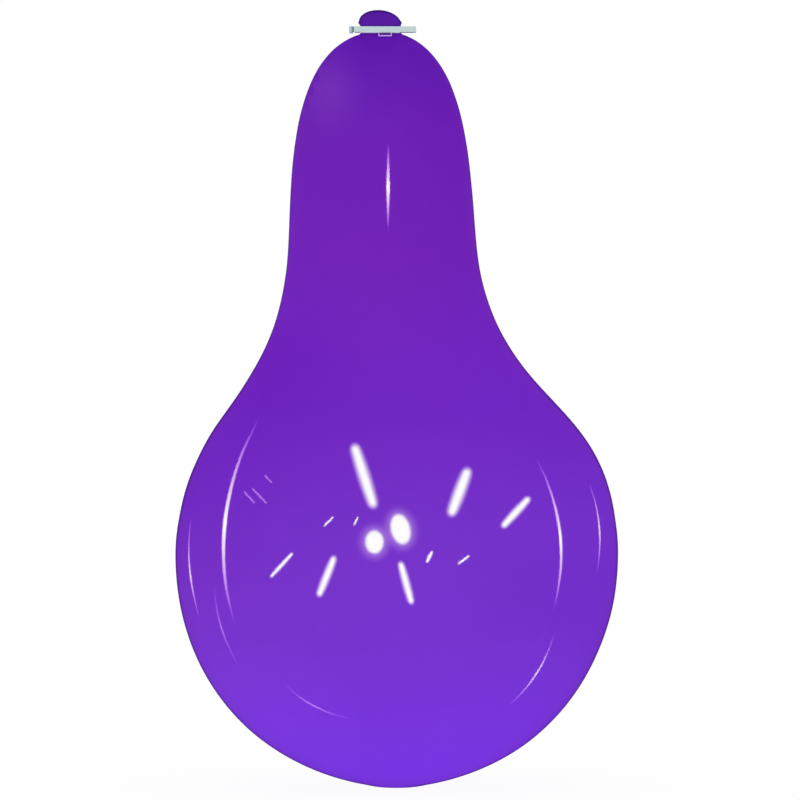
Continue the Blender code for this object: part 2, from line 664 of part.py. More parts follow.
def build_button():
    """The button, turned about its own axis, which is then laid along +X."""
    button = turned("power_button", (
        (0.0, 25.7), (1.9, 25.6), (2.6, 25.25), (BUTTON_R, 24.7), (BUTTON_R, 22.4),
        (3.6, 22.4), (3.6, 21.8), (0.0, 21.8)), KEYPAD, steps=20, base=BUTTON_Z)
    button.rotation_euler.y = math.radians(90.0)
    return button


# ------------------------------------------------------------------ puck: optics
def dome_arc(radius, rim_z, top_z, spans=5):
    """Profile points of a dome from its pole on the axis down to its rim."""
    points = [(0.0, top_z)]
    for i in range(1, spans + 1):
        angle = math.pi / 2 * (1 - i / spans)
        points.append((radius * math.cos(angle) ** 0.9,
                       rim_z + (top_z - rim_z) * math.sin(angle)))
    return points


def build_lens():
    """The hollow dome with a spigot below its rim, and its seal."""
    rim = [(PUCK_R, LENS_Z0), (22.9, LENS_Z0), (22.9, 15.4), (21.9, 15.4), (21.9, 19.7),
           (23.4, 19.7)]
    outside = dome_arc(PUCK_R, 20.5, LENS_TOP)
    inside = dome_arc(23.4, 21.2, LENS_TOP - LENS_WALL)
    turned("lens_dome", outside + rim + inside[::-1], LENS, steps=36)
    ring_seal("lens_seal", major=24.0, minor=0.55, base=17.1, steps=36)


def build_reflector():
    turned("reflector", ((22.6, 21.0), (22.6, 20.0), (21.3, 20.0), (16.5, 17.2), (9.8, 15.1),
                         (9.8, 16.0), (16.2, 18.1), (20.9, 21.0)), REFLECT, steps=36)


# ------------------------------------------------------------------ assembly
envelope = mesh_object("balloon_envelope", fill_envelope, LATEX)
front_arm = build_front_arm()
back_arm = build_back_arm()
hinge_pin = hinge_rod("clip_hinge_pin", PIN_R, 691.1, 696.9, STEEL)

build_housing()
build_door()
build_cells()
build_spring()
build_positive_strip()
build_ballast()
build_board()
for index, post_centre in enumerate(POST_CENTRES):
    build_board_screw(index, post_centre)
for index, led_angle in enumerate(LED_ANGLES):
    build_led(index, led_angle)
build_under_board()
switch_plunger = build_switch()
power_button = build_button()
build_reflector()
build_lens()

# Moving pieces have their origin, or their parent empty, on their joint's axis.
set_origin(front_arm, (HINGE_X, HINGE_Y, CLIP_MID))
adopt(envelope, back_arm, hinge_pin, front_arm)
light_axis = empty("light_unit_axis", (0, 0, PUCK_Z), envelope)
button_axis = empty("power_button_axis", (24.0, 0, PUCK_Z + BUTTON_Z), light_axis)
adopt(button_axis, power_button)
# every piece still without a parent belongs to the puck
adopt(light_axis, *[obj for obj in PARTS.objects if obj.parent is None and obj != envelope])

for smooth in (envelope, hinge_pin, switch_plunger):
    smooth.data.shade_smooth()
    smooth.data.set_sharp_from_angle(angle=math.radians(40.0))
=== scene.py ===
"""The looks of the floating pool light: a glossy purple latex balloon, sealed
by a hinged plastic clip, with a ballasted light puck inside it.

Everything is in metres in the frame's own axes: +Z up the balloon, +X along
the clip, the clip's front arm facing -Y.
"""

import json
import math

import bmesh
import bpy
import numpy as np
from mathutils import Matrix, Vector, noise
from mathutils.bvhtree import BVHTree


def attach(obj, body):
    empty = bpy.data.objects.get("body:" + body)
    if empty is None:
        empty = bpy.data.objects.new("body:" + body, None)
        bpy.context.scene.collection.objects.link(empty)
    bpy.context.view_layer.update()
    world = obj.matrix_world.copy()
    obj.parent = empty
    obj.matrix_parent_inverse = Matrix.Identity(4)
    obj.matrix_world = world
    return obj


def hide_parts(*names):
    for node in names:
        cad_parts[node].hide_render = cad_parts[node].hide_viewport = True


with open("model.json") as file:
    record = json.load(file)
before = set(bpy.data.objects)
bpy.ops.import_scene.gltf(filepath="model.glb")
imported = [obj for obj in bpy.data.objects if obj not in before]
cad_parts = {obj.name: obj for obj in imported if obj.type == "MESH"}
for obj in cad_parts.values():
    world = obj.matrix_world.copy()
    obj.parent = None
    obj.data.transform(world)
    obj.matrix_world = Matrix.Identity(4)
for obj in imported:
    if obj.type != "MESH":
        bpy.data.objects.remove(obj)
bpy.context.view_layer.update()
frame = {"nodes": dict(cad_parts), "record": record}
MM = 0.001

scene = bpy.context.scene
scene.view_settings.view_transform = "Standard"
scene.view_settings.look = "None"


# =====================================================================
# small helpers
# =====================================================================
def srgb(r, g, b, gain=1.0):
    """Linear colour of an 8-bit screen colour."""
    out = []
    for c in (r, g, b):
        c /= 255.0
        out.append((c / 12.92 if c <= 0.04045 else ((c + 0.055) / 1.055) ** 2.4) * gain)
    return (*out, 1.0)


def smooth(t):
    t = np.clip(t, 0.0, 1.0)
    return t * t * (3.0 - 2.0 * t)


def link_new(name, mesh, mat=None, shade=True):
    obj = bpy.data.objects.new(name, mesh)
    scene.collection.objects.link(obj)
    if mat is not None:
        mesh.materials.clear()
        mesh.materials.append(mat)
    if shade:
        mesh.shade_smooth()
    return obj


class Nodes:
    """A short way to write a Principled material."""

    def __init__(self, name):
        self.mat = bpy.data.materials.new(name)
        self.mat.use_nodes = True
        self.tree = self.mat.node_tree
        self.bsdf = self.tree.nodes["Principled BSDF"]

    def add(self, kind, **values):
        node = self.tree.nodes.new(kind)
        for key, value in values.items():
            if key.startswith("in_"):
                key = key[3:]
                key = int(key) if key.isdigit() else key.replace("_", " ")
                node.inputs[key].default_value = value
            else:
                setattr(node, key, value)
        return node

    def link(self, a, b):
        self.tree.links.new(a, b)

    def set(self, **values):
        for key, value in values.items():
            self.bsdf.inputs[key.replace("_", " ")].default_value = value

    def math(self, op, a, b=None, clamp=False):
        node = self.add("ShaderNodeMath", operation=op, use_clamp=clamp)
        for slot, value in enumerate((a, b)):
            if value is None:
                continue
            if isinstance(value, (int, float)):
                node.inputs[slot].default_value = value
            else:
                self.link(value, node.inputs[slot])
        return node.outputs[0]

    def ramp(self, fac, stops, interpolation="LINEAR"):
        node = self.add("ShaderNodeValToRGB")
        ramp = node.color_ramp
        ramp.interpolation = interpolation
        while len(ramp.elements) > 1:
            ramp.elements.remove(ramp.elements[-1])
        for i, (pos, colour) in enumerate(stops):
            element = ramp.elements[0] if i == 0 else ramp.elements.new(pos)
            element.position = pos
            element.color = colour if len(colour) == 4 else (*colour, 1.0)
        self.link(fac, node.inputs["Fac"])
        return node.outputs["Color"]

    def mix(self, fac, a, b, mode="MIX"):
        node = self.add("ShaderNodeMix", data_type="RGBA", blend_type=mode)
        for slot, value in ((0, fac), (6, a), (7, b)):
            if isinstance(value, (int, float)):
                node.inputs[slot].default_value = value
            elif isinstance(value, tuple):
                node.inputs[slot].default_value = value if len(value) == 4 else (*value, 1.0)
            else:
                self.link(value, node.inputs[slot])
        return node.outputs[2]

    def noise(self, vector, scale, detail=2.0, rough=0.5, distortion=0.0):
        node = self.add("ShaderNodeTexNoise")
        node.inputs["Scale"].default_value = scale
        node.inputs["Detail"].default_value = detail
        node.inputs["Roughness"].default_value = rough
        node.inputs["Distortion"].default_value = distortion
        self.link(vector, node.inputs["Vector"])
        return node.outputs["Fac"]

    def place(self):
        return self.add("ShaderNodeTexCoord").outputs["Object"]

    def bump(self, height, strength, distance, normal=None):
        node = self.add("ShaderNodeBump")
        node.inputs["Strength"].default_value = strength
        node.inputs["Distance"].default_value = distance
        self.link(height, node.inputs["Height"])
        if normal is not None:
            self.link(normal, node.inputs["Normal"])
        return node.outputs["Normal"]


# =====================================================================
# the balloon's shape
# =====================================================================
BODY_R, BODY_HALF_H = 203.0, 212.0
PATCH_R = 18.0
CLIP_Z0, CLIP_Z1 = 691.5, 696.9
FLARE_Z = 690.7
FLAT_HALF = 0.45

# height, half width, sideways place of the section's centre
STATIONS = (
    (235.0, 201.6, 0.4), (249.0, 199.4, 0.6), (262.5, 196.8, 0.8), (276.0, 193.1, 0.9),
    (290.0, 188.1, 1.0), (308.0, 179.5, 0.7), (317.3, 174.1, 0.2), (326.5, 168.0, -0.4),
    (335.6, 161.2, -1.0), (344.8, 153.8, -1.8), (354.0, 146.3, -2.8), (363.2, 138.9, -4.0),
    (372.3, 131.9, -5.2), (381.5, 125.3, -6.3), (390.7, 119.2, -7.2), (399.9, 113.7, -8.0),
    (409.0, 108.9, -8.7), (418.2, 104.5, -9.4), (427.4, 100.8, -10.0), (436.6, 97.6, -10.6),
    (445.7, 94.9, -11.1), (454.9, 92.5, -11.6), (473.3, 88.9, -12.3), (491.6, 86.8, -12.8),
    (510.0, 85.5, -13.2), (537.5, 83.9, -13.7), (565.0, 81.7, -14.2), (583.4, 79.6, -14.4),
    (601.7, 76.6, -14.6), (610.9, 74.8, -14.7), (620.1, 72.5, -14.7), (629.2, 69.8, -14.8),
    (638.4, 66.6, -14.8), (647.6, 62.8, -14.8), (656.8, 58.0, -14.9), (665.9, 52.0, -14.8),
    (670.5, 48.3, -14.8), (675.1, 44.0, -14.8), (678.8, 39.9, -14.7), (682.4, 35.0, -14.6),
    (684.3, 32.1, -14.5), (686.1, 28.8, -14.5), (688.0, 24.7, -14.4), (689.0, 22.3, -14.4),
    (689.9, 19.7, -14.3), (CLIP_Z0, 18.4, -14.3),
)


def catmull_chain(points, per=6):
    """Centripetal Catmull-Rom through rows of numbers; distance is of the first two."""
    pts = np.array(points, float)
    pts = np.vstack([2 * pts[0] - pts[1], pts, 2 * pts[-1] - pts[-2]])
    out = []
    for i in range(1, len(pts) - 2):
        p0, p1, p2, p3 = pts[i - 1:i + 3]
        k1 = np.linalg.norm((p1 - p0)[:2]) ** 0.5
        k2 = k1 + np.linalg.norm((p2 - p1)[:2]) ** 0.5
        k3 = k2 + np.linalg.norm((p3 - p2)[:2]) ** 0.5
        for j in range(per):
            k = k1 + (k2 - k1) * j / per
            a1 = ((k1 - k) * p0 + k * p1) / k1
            a2 = ((k2 - k) * p1 + (k - k1) * p2) / (k2 - k1)
            a3 = ((k3 - k) * p2 + (k - k2) * p3) / (k3 - k2)
            b1 = ((k2 - k) * a1 + k * a2) / k2
            b2 = ((k3 - k) * a2 + (k - k1) * a3) / (k3 - k1)
            out.append(((k2 - k) * b1 + (k - k1) * b2) / (k2 - k1))
    out.append(pts[-2])
    return np.array(out)


def balloon_outline():
    """Rows of (height, half width, centre) from the resting patch to the clip."""
    start = math.asin(PATCH_R / BODY_R)
    end = math.acos(1.0 - 228.0 / BODY_HALF_H)
    low = []
    flat = BODY_HALF_H * (1.0 - math.sqrt(1.0 - (PATCH_R / BODY_R) ** 2))
    for angle in np.linspace(start, end, 90):
        r = BODY_R * math.sin(angle)
        z = BODY_HALF_H * (1.0 - math.cos(angle))
        z -= flat * (1.0 - float(smooth((r - PATCH_R) / 16.0)))
        low.append((z, r, 0.4 * float(smooth((z - 100.0) / 120.0))))
    rows = np.vstack([np.array(low), catmull_chain(STATIONS, 8)])
    # even out the stations' small steps, along the outline's own length
    run = np.concatenate([[0.0], np.cumsum(np.hypot(np.diff(rows[:, 0]), np.diff(rows[:, 1])))])
    even = np.arange(0.0, run[-1], 1.0)
    fine = np.column_stack([np.interp(even, run, rows[:, c]) for c in range(3)])
    eased = fine.copy()
    for i, s in enumerate(even):
        left = min(s, run[-1] - s)
        sigma = min(9.0, 0.25 * left)
        if sigma < 0.6:
            continue
        lo, hi = max(0, int(i - 3 * sigma)), min(len(even), int(i + 3 * sigma) + 1)
        w = np.exp(-0.5 * ((even[lo:hi] - s) / sigma) ** 2)
        # a local straight-line fit, so that curved parts don't shrink
        d = even[lo:hi] - s
        for c in range(3):
            v = fine[lo:hi, c]
            m0, m1, m2, m3, m4 = w.sum(), (w * d).sum(), (w * d * d).sum(), (w * d ** 3).sum(), (w * d ** 4).sum()
            t0, t1, t2 = (w * v).sum(), (w * v * d).sum(), (w * v * d * d).sum()
            eased[i, c] = np.linalg.solve(np.array([[m0, m1, m2], [m1, m2, m3], [m2, m3, m4]]),
                                          np.array([t0, t1, t2]))[0]
    # sections: wide apart on the body, close together where the neck closes
    pick, s = [0.0], 0.0
    while s < run[-1]:
        left = run[-1] - s
        s += min(4.2, 0.7 + left * 0.045)
        pick.append(min(s, run[-1]))
    rows = np.column_stack([np.interp(pick, even, eased[:, c]) for c in range(3)])
    rows[0, :2] = (0.0, PATCH_R)
    rows[-1] = (CLIP_Z0, 18.4, -14.3)
    # the weight of the filled balloon rounds its foot out, more on the left
    for row in rows:
        z, r = row[0], row[1]
        left = 1.42 * smooth((205.0 - z) / 132.0) * (1.0 - smooth((58.0 - z) / 38.0))
        right = 0.66 * smooth((140.0 - z) / 80.0) * (1.0 - smooth((46.0 - z) / 28.0))
        right -= 0.40 * math.exp(-((z - 200.0) / 28.0) ** 2)
        row[1] += 0.5 * float(left + right)
        row[2] += 0.5 * float(right - left)
        if z < 60.0:
            row[0] += 0.45 * float(smooth((r - 22.0) / 40.0) * (1.0 - smooth((r - 70.0) / 45.0)))
    return rows


SECTORS = 144
TURNS = np.linspace(0.0, math.tau, SECTORS, endpoint=False)
COS, SIN = np.cos(TURNS), np.sin(TURNS)


def half_depth(z, r):
    flat = (1.0 - np.clip((FLARE_Z - z) / 80.0, 0.0, 1.0)) ** 3.3
    return FLAT_HALF * flat + r * (1.0 - flat)


def pleats(turn, down):
    """How far the gathered skin dips between its folds, in mm, below the clip."""
    fan = 0.0
    for count, shift, share in ((13, 0.4, 0.46), (21, 1.9, 0.30), (34, 0.7, 0.24)):
        fan = fan + share * (0.5 + 0.5 * np.cos(count * np.arcsin(np.clip(np.cos(turn), -1, 1)) * 1.0
                                                + shift + 1.3 * np.sign(np.sin(turn))))
    reach = np.exp(-down / 9.0) * smooth(down / 2.5)
    return 0.55 * fan * reach * np.abs(np.sin(turn)) ** 0.7


def tail_ring(k, turns, offset):
    """A section of the mouth above the clip, offset in mm off its middle skin."""
    s, c = np.sin(turns), np.cos(turns)
    front = s < 0
    rise = np.where(front, 11.4, 10.2)
    lip_z = 700.4 + rise * np.abs(s)
    z = (CLIP_Z1 + 0.05) * (1 - k) + lip_z * k
    half_x = 18.3 + (19.35 - 18.3) * math.sin(k * math.pi / 2)
    gape = np.where(front, 4.2, 5.4)
    half_y = FLAT_HALF + (gape - FLAT_HALF) * k * k * (1.5 - 0.5 * k)
    # soft creases run up from the clip and fade before the bead
    crease = 0.28 * np.sin(9.0 * c + 0.6) * np.sin(math.pi * min(k * 1.15, 1.0)) * np.abs(s)
    lean = -14.55 - 0.165 * (z - CLIP_Z1)
    return np.column_stack([lean + (half_x + offset) * c,
                            (half_y + offset + crease) * s,
                            z])


def balloon_mesh(name):
    rows = balloon_outline()
    outer = []
    for z, r, cx in rows:
        b = half_depth(z, r)
        dip = pleats(TURNS, FLARE_Z - z) if z > 640 else 0.0
        dip = np.minimum(dip, 0.3 * b)
        outer.append(np.column_stack([cx + r * COS, (b - dip) * SIN, np.full(SECTORS, z)]))
    slope = np.gradient(rows[:, 0]), np.gradient(rows[:, 1])
    length = np.hypot(*slope)
    nr, nz = slope[0] / length, -slope[1] / length
    nr[0], nz[0] = 0.0, -1.0
    inner = []
    for i, (z, r, cx) in enumerate(rows):
        near = float(smooth((CLIP_Z0 - z) / 30.0))
        wall = 0.30 - 0.05 * near
        flat = float(smooth((CLIP_Z0 - z) / 6.0))
        rx = r - wall * (1.6 + (nr[i] - 1.6) * flat)
        b = half_depth(z, r)
        ry = b - wall * (1.0 + (max(nr[i], 0.25) - 1.0) * flat) if z > 300 else b - wall * nr[i]
        dip = pleats(TURNS, FLARE_Z - z) if z > 640 else 0.0
        dip = np.minimum(dip, 0.3 * b)
        inner.append(np.column_stack([cx + rx * COS, (ry - dip) * SIN,
                                      np.full(SECTORS, z - wall * nz[i] * flat)]))
    mid = 0.5 * (CLIP_Z0 + CLIP_Z1)
    for dz, cy in ((-2.4, 0.0), (-1.55, 0.0), (-1.15, -0.45), (-0.75, -0.9), (0.0, -0.9), (0.75, -0.9),
                   (1.15, -0.45), (1.55, 0.0), (2.2, 0.0), (2.7, 0.0)):
        z = mid + dz
        t = (z - CLIP_Z0) / (CLIP_Z1 - CLIP_Z0)
        r, cx = 18.4 - 0.05 * t, -14.3 - 0.25 * t
        outer.append(np.column_stack([cx + r * COS, cy + FLAT_HALF * SIN, np.full(SECTORS, z)]))
        inner.append(np.column_stack([cx + (r - 0.6) * COS, cy + 0.15 * SIN, np.full(SECTORS, z)]))
    steps = 12
    for i in range(1, steps + 1):
        k = i / steps * 0.93
        outer.append(tail_ring(k, TURNS, 0.0))
        inner.append(tail_ring(k, TURNS, -0.30))
    # the rolled bead round the mouth
    top = tail_ring(0.93, TURNS, -0.15)
    lip = tail_ring(1.0, TURNS, -0.15)
    along = lip - top
    along /= np.linalg.norm(along, axis=1)[:, None]
    tangent = np.roll(lip, -1, axis=0) - np.roll(lip, 1, axis=0)
    tangent /= np.linalg.norm(tangent, axis=1)[:, None]
    out = np.cross(tangent, along)
    out /= np.linalg.norm(out, axis=1)[:, None]
    bead = 0.78
    centre = lip - along * bead * 0.9
    bead_rings = []
    for phi in np.linspace(math.radians(-150), math.radians(150), 15):
        # phi 0 points up along the wall, negative is the outer side
        bead_rings.append(centre + bead * (along * math.cos(phi) - out * math.sin(phi)))
    rings = outer + bead_rings + inner[::-1]
    rings = np.array(rings)
    count = len(rings)
    verts = rings.reshape(-1, 3)
    # poles: middle of the resting patch, outside and inside
    extra = []
    faces = []
    for i in range(count - 1):
        a = i * SECTORS
        b = a + SECTORS
        for j in range(SECTORS):
            n = (j + 1) % SECTORS
            faces.append((a + j, a + n, b + n, b + j))
    base = len(verts)
    for start, z in ((0, 0.0), ((count - 1) * SECTORS, 0.25)):
        ring0 = list(range(start, start + SECTORS))
        flip = start != 0
        last = ring0
        for share in (0.6, 0.25):
            new = []
            for j in range(SECTORS):
                p = verts[start + j].copy()
                p[:2] *= share
                p[2] = z if flip else 0.0
                new.append(base + len(extra))
                extra.append(p)
            for j in range(SECTORS):
                n = (j + 1) % SECTORS
                face = (last[n], last[j], new[j], new[n])
                faces.append(face[::-1] if flip else face)
            last = new
        pole = base + len(extra)
        extra.append(np.array([0.0, 0.0, z if flip else 0.0]))
        for j in range(SECTORS):
            n = (j + 1) % SECTORS
            face = (last[n], last[j], pole)
            faces.append(face[::-1] if flip else face)
    verts = np.vstack([verts, np.array(extra)]) * MM
    mesh = bpy.data.meshes.new(name)
    mesh.from_pydata([tuple(v) for v in verts], [], faces)
    # the bead is marked, so that the material can darken it
    mark = mesh.attributes.new("bead", "FLOAT", "POINT")
    value = np.zeros(len(verts), np.float32)
    first = len(outer) * SECTORS
    value[first:first + len(bead_rings) * SECTORS] = 1.0
    mark.data.foreach_set("value", value)
    bm = bmesh.new()
    bm.from_mesh(mesh)
    bmesh.ops.recalc_face_normals(bm, faces=bm.faces)
    bm.to_mesh(mesh)
    bm.free()
    mesh.update()
    return mesh, len(outer)


# =====================================================================
# latex
# =====================================================================
def latex_material():
    n = Nodes("purple_latex")
    place = n.place()
    split = n.add("ShaderNodeSeparateXYZ")
    n.link(place, split.inputs[0])
    height = n.math("DIVIDE", split.outputs["Z"], 0.712, clamp=True)
    # painted glow: the skin is thinnest low down and is painted brightest there, standing in for the lamp shining
    # through it, and deepest in the hardly stretched neck and mouth; a painted band of light just under the clip lifts
    # the clip's shadow
    tone = n.ramp(height, [(z / 712.0, srgb(*c)) for z, c in (
        (0, (121, 55, 236)), (55, (120, 54, 223)), (140, (119, 53, 208)), (240, (118, 52, 202)),
        (350, (113, 38, 194)), (480, (115, 37, 185)), (600, (109, 34, 180)), (672, (96, 24, 173)),
        (683, (98, 25, 176)), (687, (101, 26, 181)), (690.4, (121, 33, 215)), (697, (93, 24, 171)),
        (712, (92, 24, 169)))])
    # painted light and shade: the left shoulder is painted a little deeper and the foot a little brighter than the
    # front, and the right side deeper up the neck, as light falls on them
    facing = n.add("ShaderNodeSeparateXYZ")
    n.link(n.add("ShaderNodeTexCoord").outputs["Normal"], facing.inputs[0])
    left = n.ramp(height, [(z / 712.0, c) for z, c in (
        (5, (1.21, 1.45, 1.20)), (100, (1.11, 1.17, 1.04)), (185, (1.02, 0.92, 0.95)),
        (262, (0.90, 0.66, 0.93)), (390, (0.90, 0.66, 0.96)), (440, (0.96, 0.90, 1.01)),
        (620, (1.02, 1.08, 0.98)), (700, (1.0, 1.0, 0.98)))])
    right = n.ramp(height, [(z / 712.0, c) for z, c in (
        (5, (1.0, 1.0, 1.06)), (97, (0.97, 0.96, 1.0)), (185, (0.90, 0.78, 0.97)),
        (262, (0.93, 0.88, 1.02)), (400, (0.95, 0.90, 1.02)), (538, (0.95, 0.84, 0.98)),
        (640, (0.92, 0.62, 0.97)), (700, (0.95, 0.8, 0.97)))])
    left_light_and_shade = n.math("POWER", n.math("MULTIPLY", facing.outputs["X"], -1.0, clamp=True), 1.4)
    right_light_and_shade = n.math("POWER", n.math("MULTIPLY", facing.outputs["X"], 1.0, clamp=True), 1.2)
    colour = n.mix(left_light_and_shade, tone, n.mix(1.0, tone, left, "MULTIPLY"))
    colour = n.mix(right_light_and_shade, colour, n.mix(1.0, colour, right, "MULTIPLY"))
    # slight unevenness of stretched latex: broad clouds and a finer mottle
    clouds = n.noise(place, 9.0, 3.0, 0.55)
    mottle = n.noise(place, 60.0, 3.0, 0.6)
    uneven = n.math("ADD", n.math("MULTIPLY", n.math("SUBTRACT", clouds, 0.5), 0.10),
                    n.math("MULTIPLY", n.math("SUBTRACT", mottle, 0.5), 0.05))
    uneven = n.math("ADD", uneven, LATEX_GAIN)
    shade = n.add("ShaderNodeCombineXYZ")
    for i in range(3):
        n.link(uneven, shade.inputs[i])
    colour = n.mix(1.0, colour, shade.outputs[0], "MULTIPLY")
    # the pinched skin under the clip is darker, partly its gathered latex and partly painted shadow of the clip; the
    # rolled bead looks darker too
    pinch_and_clip_shade = n.math("DIVIDE", n.math("SUBTRACT", split.outputs["Z"], 0.6894), 0.0010, clamp=True)
    above = n.math("SUBTRACT", 1.0, n.math("DIVIDE", n.math("SUBTRACT", split.outputs["Z"], 0.6974), 0.0008, clamp=True))
    pinch_and_clip_shade = n.math("MULTIPLY", n.math("MULTIPLY", pinch_and_clip_shade, above), 0.62)
    # so do the two folded sides of the mouth
    side = n.math("ABSOLUTE", n.math("ADD", split.outputs["X"], 0.0152))
    side = n.math("DIVIDE", n.math("SUBTRACT", side, 0.0172), 0.0012, clamp=True)
    side = n.math("MULTIPLY", side, n.math("GREATER_THAN", split.outputs["Z"], 0.6970))
    bead = n.add("ShaderNodeAttribute", attribute_name="bead")
    dark = n.math("MAXIMUM", pinch_and_clip_shade, n.math("MULTIPLY", bead.outputs["Fac"], 0.80))
    dark = n.math("MAXIMUM", dark, n.math("MULTIPLY", side, 0.80))
    # and painted shade down either side of the flattened top of the neck, where the skin turns edge-on
    edge_on_shade = n.math("SUBTRACT", 1.0, n.math("DIVIDE", n.math("ABSOLUTE", facing.outputs["Y"]), 0.30), clamp=True)
    fold = n.math("DIVIDE", n.math("SUBTRACT", split.outputs["Z"], 0.645), 0.025, clamp=True)
    dark = n.math("MAXIMUM", dark, n.math("MULTIPLY", n.math("MULTIPLY", edge_on_shade, fold), 0.60))
    colour = n.mix(dark, colour, srgb(56, 12, 104))
    # painted light: a pale band is painted on the skin right under the clip, for the light the frosted clip throws
    # there
    near = n.math("DIVIDE", n.math("SUBTRACT", split.outputs["Z"], 0.6903), 0.0004, clamp=True)
    over = n.math("DIVIDE", n.math("SUBTRACT", 0.6924, split.outputs["Z"]), 0.0008, clamp=True)
    near = n.math("MULTIPLY", near, over)
    colour = n.mix(n.math("MULTIPLY", near, 0.75), colour, srgb(166, 138, 184))
    n.link(colour, n.bsdf.inputs["Base Color"])
    # the neck, hardly stretched, is a little less glossy than the body, and
    # the mouth is nearly matt
    satin = n.math("MULTIPLY", n.math("SUBTRACT", height, 0.80, clamp=True), 0.25)
    mouth = n.math("MULTIPLY", n.math("DIVIDE", n.math("SUBTRACT", split.outputs["Z"], 0.686), 0.010, clamp=True), 0.42)
    rough = n.math("ADD", n.math("ADD", 0.035, satin), n.math("ADD", mouth, n.math("MULTIPLY", mottle, 0.02)))
    n.link(rough, n.bsdf.inputs["Roughness"])
    n.link(n.math("SUBTRACT", 0.5, n.math("MULTIPLY", mouth, 0.9)), n.bsdf.inputs["Specular IOR Level"])
    n.set(IOR=LATEX_IOR)
    grain = n.noise(place, 900.0, 2.0, 0.6)
    slack = n.add("ShaderNodeBump")
    slack.inputs["Distance"].default_value = 0.0002
    n.link(n.math("ADD", n.math("MULTIPLY", mouth, 0.25), 0.0015), slack.inputs["Strength"])
    n.link(grain, slack.inputs["Height"])
    n.link(slack.outputs["Normal"], n.bsdf.inputs["Normal"])
    return n.mat


LATEX_IOR = 1.40
LATEX_GAIN = 1.0


# =====================================================================
# camera
# =====================================================================
VIEW_DISTANCE = 4.0778
VIEW_X, VIEW_Z = 0.0032, 0.3544
camera = bpy.data.cameras.new("camera")
camera.lens = 200.0
camera.sensor_width = 36.0
camera.clip_start = 0.05
camera.clip_end = 200.0
camera_object = bpy.data.objects.new("camera", camera)
scene.collection.objects.link(camera_object)
camera_object.location = (VIEW_X, -VIEW_DISTANCE, VIEW_Z)
camera_object.rotation_euler = (math.radians(90.0), 0.0, 0.0)
scene.camera = camera_object

# =====================================================================
# the balloon
# =====================================================================
LATEX = latex_material()
skin, outer_rings = balloon_mesh("balloon_skin")
balloon = link_new("balloon_skin", skin, LATEX)
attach(balloon, "envelope")
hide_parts("balloon_envelope")


# =====================================================================
# studio: pale floor, even white surround, and narrow lamps that show as
# highlights in the latex
# =====================================================================
def studio_floor():
    mesh = bpy.data.meshes.new("floor")
    bm = bmesh.new()
    bmesh.ops.create_grid(bm, x_segments=1, y_segments=1, size=30.0)
    bm.to_mesh(mesh)
    bm.free()
    n = Nodes("pale_floor")
    place = n.place()
    haze = n.noise(place, 3.0, 2.0)
    tint = n.mix(haze, (0.93, 0.93, 0.935), (0.96, 0.96, 0.96))
    n.link(tint, n.bsdf.inputs["Base Color"])
    n.set(Roughness=0.9, Specular_IOR_Level=0.0)
    diffuse = n.bsdf
    glow = n.add("ShaderNodeEmission")
    glow.inputs["Color"].default_value = (1, 1, 1, 1)
    glow.inputs["Strength"].default_value = 1.0
    blend = n.add("ShaderNodeMixShader")
    blend.inputs[0].default_value = 0.95
    n.link(diffuse.outputs[0], blend.inputs[1])
    n.link(glow.outputs[0], blend.inputs[2])
    output = next(x for x in n.tree.nodes if x.type == "OUTPUT_MATERIAL")
    n.link(blend.outputs[0], output.inputs[0])
    floor = link_new("floor", mesh, n.mat)
    floor.location.z = -0.0002
    floor.visible_glossy = False
    return floor


def surround():
    """Even white light; mirrored in the latex, the room is as deep as the
    latex itself, and darker straight behind the balloon, which draws a thin
    dark edge round it."""
    world = bpy.data.worlds.new("white_room")
    world.use_nodes = True
    tree = world.node_tree
    back = tree.nodes["Background"]
    back.inputs["Strength"].default_value = 1.0
    path = tree.nodes.new("ShaderNodeLightPath")
    mix = tree.nodes.new("ShaderNodeMix")
    mix.data_type = "RGBA"
    tree.links.new(path.outputs["Is Glossy Ray"], mix.inputs[0])
    mix.inputs[6].default_value = (1.0, 1.0, 1.0, 1.0)
    place = tree.nodes.new("ShaderNodeTexCoord")
    along = tree.nodes.new("ShaderNodeVectorMath")
    along.operation = "DOT_PRODUCT"
    along.inputs[1].default_value = (0.0, 1.0, 0.0)
    tree.links.new(place.outputs["Generated"], along.inputs[0])
    ramp = tree.nodes.new("ShaderNodeValToRGB")
    ramp.color_ramp.elements[0].position = 0.935
    ramp.color_ramp.elements[0].color = (0.165, 0.028, 0.47, 1.0)
    ramp.color_ramp.elements[1].position = 0.985
    ramp.color_ramp.elements[1].color = (0.030, 0.008, 0.085, 1.0)
    tree.links.new(along.outputs["Value"], ramp.inputs["Fac"])
    tree.links.new(ramp.outputs["Color"], mix.inputs[7])
    tree.links.new(mix.outputs[2], back.inputs["Color"])
    scene.world = world


studio_floor()
surround()


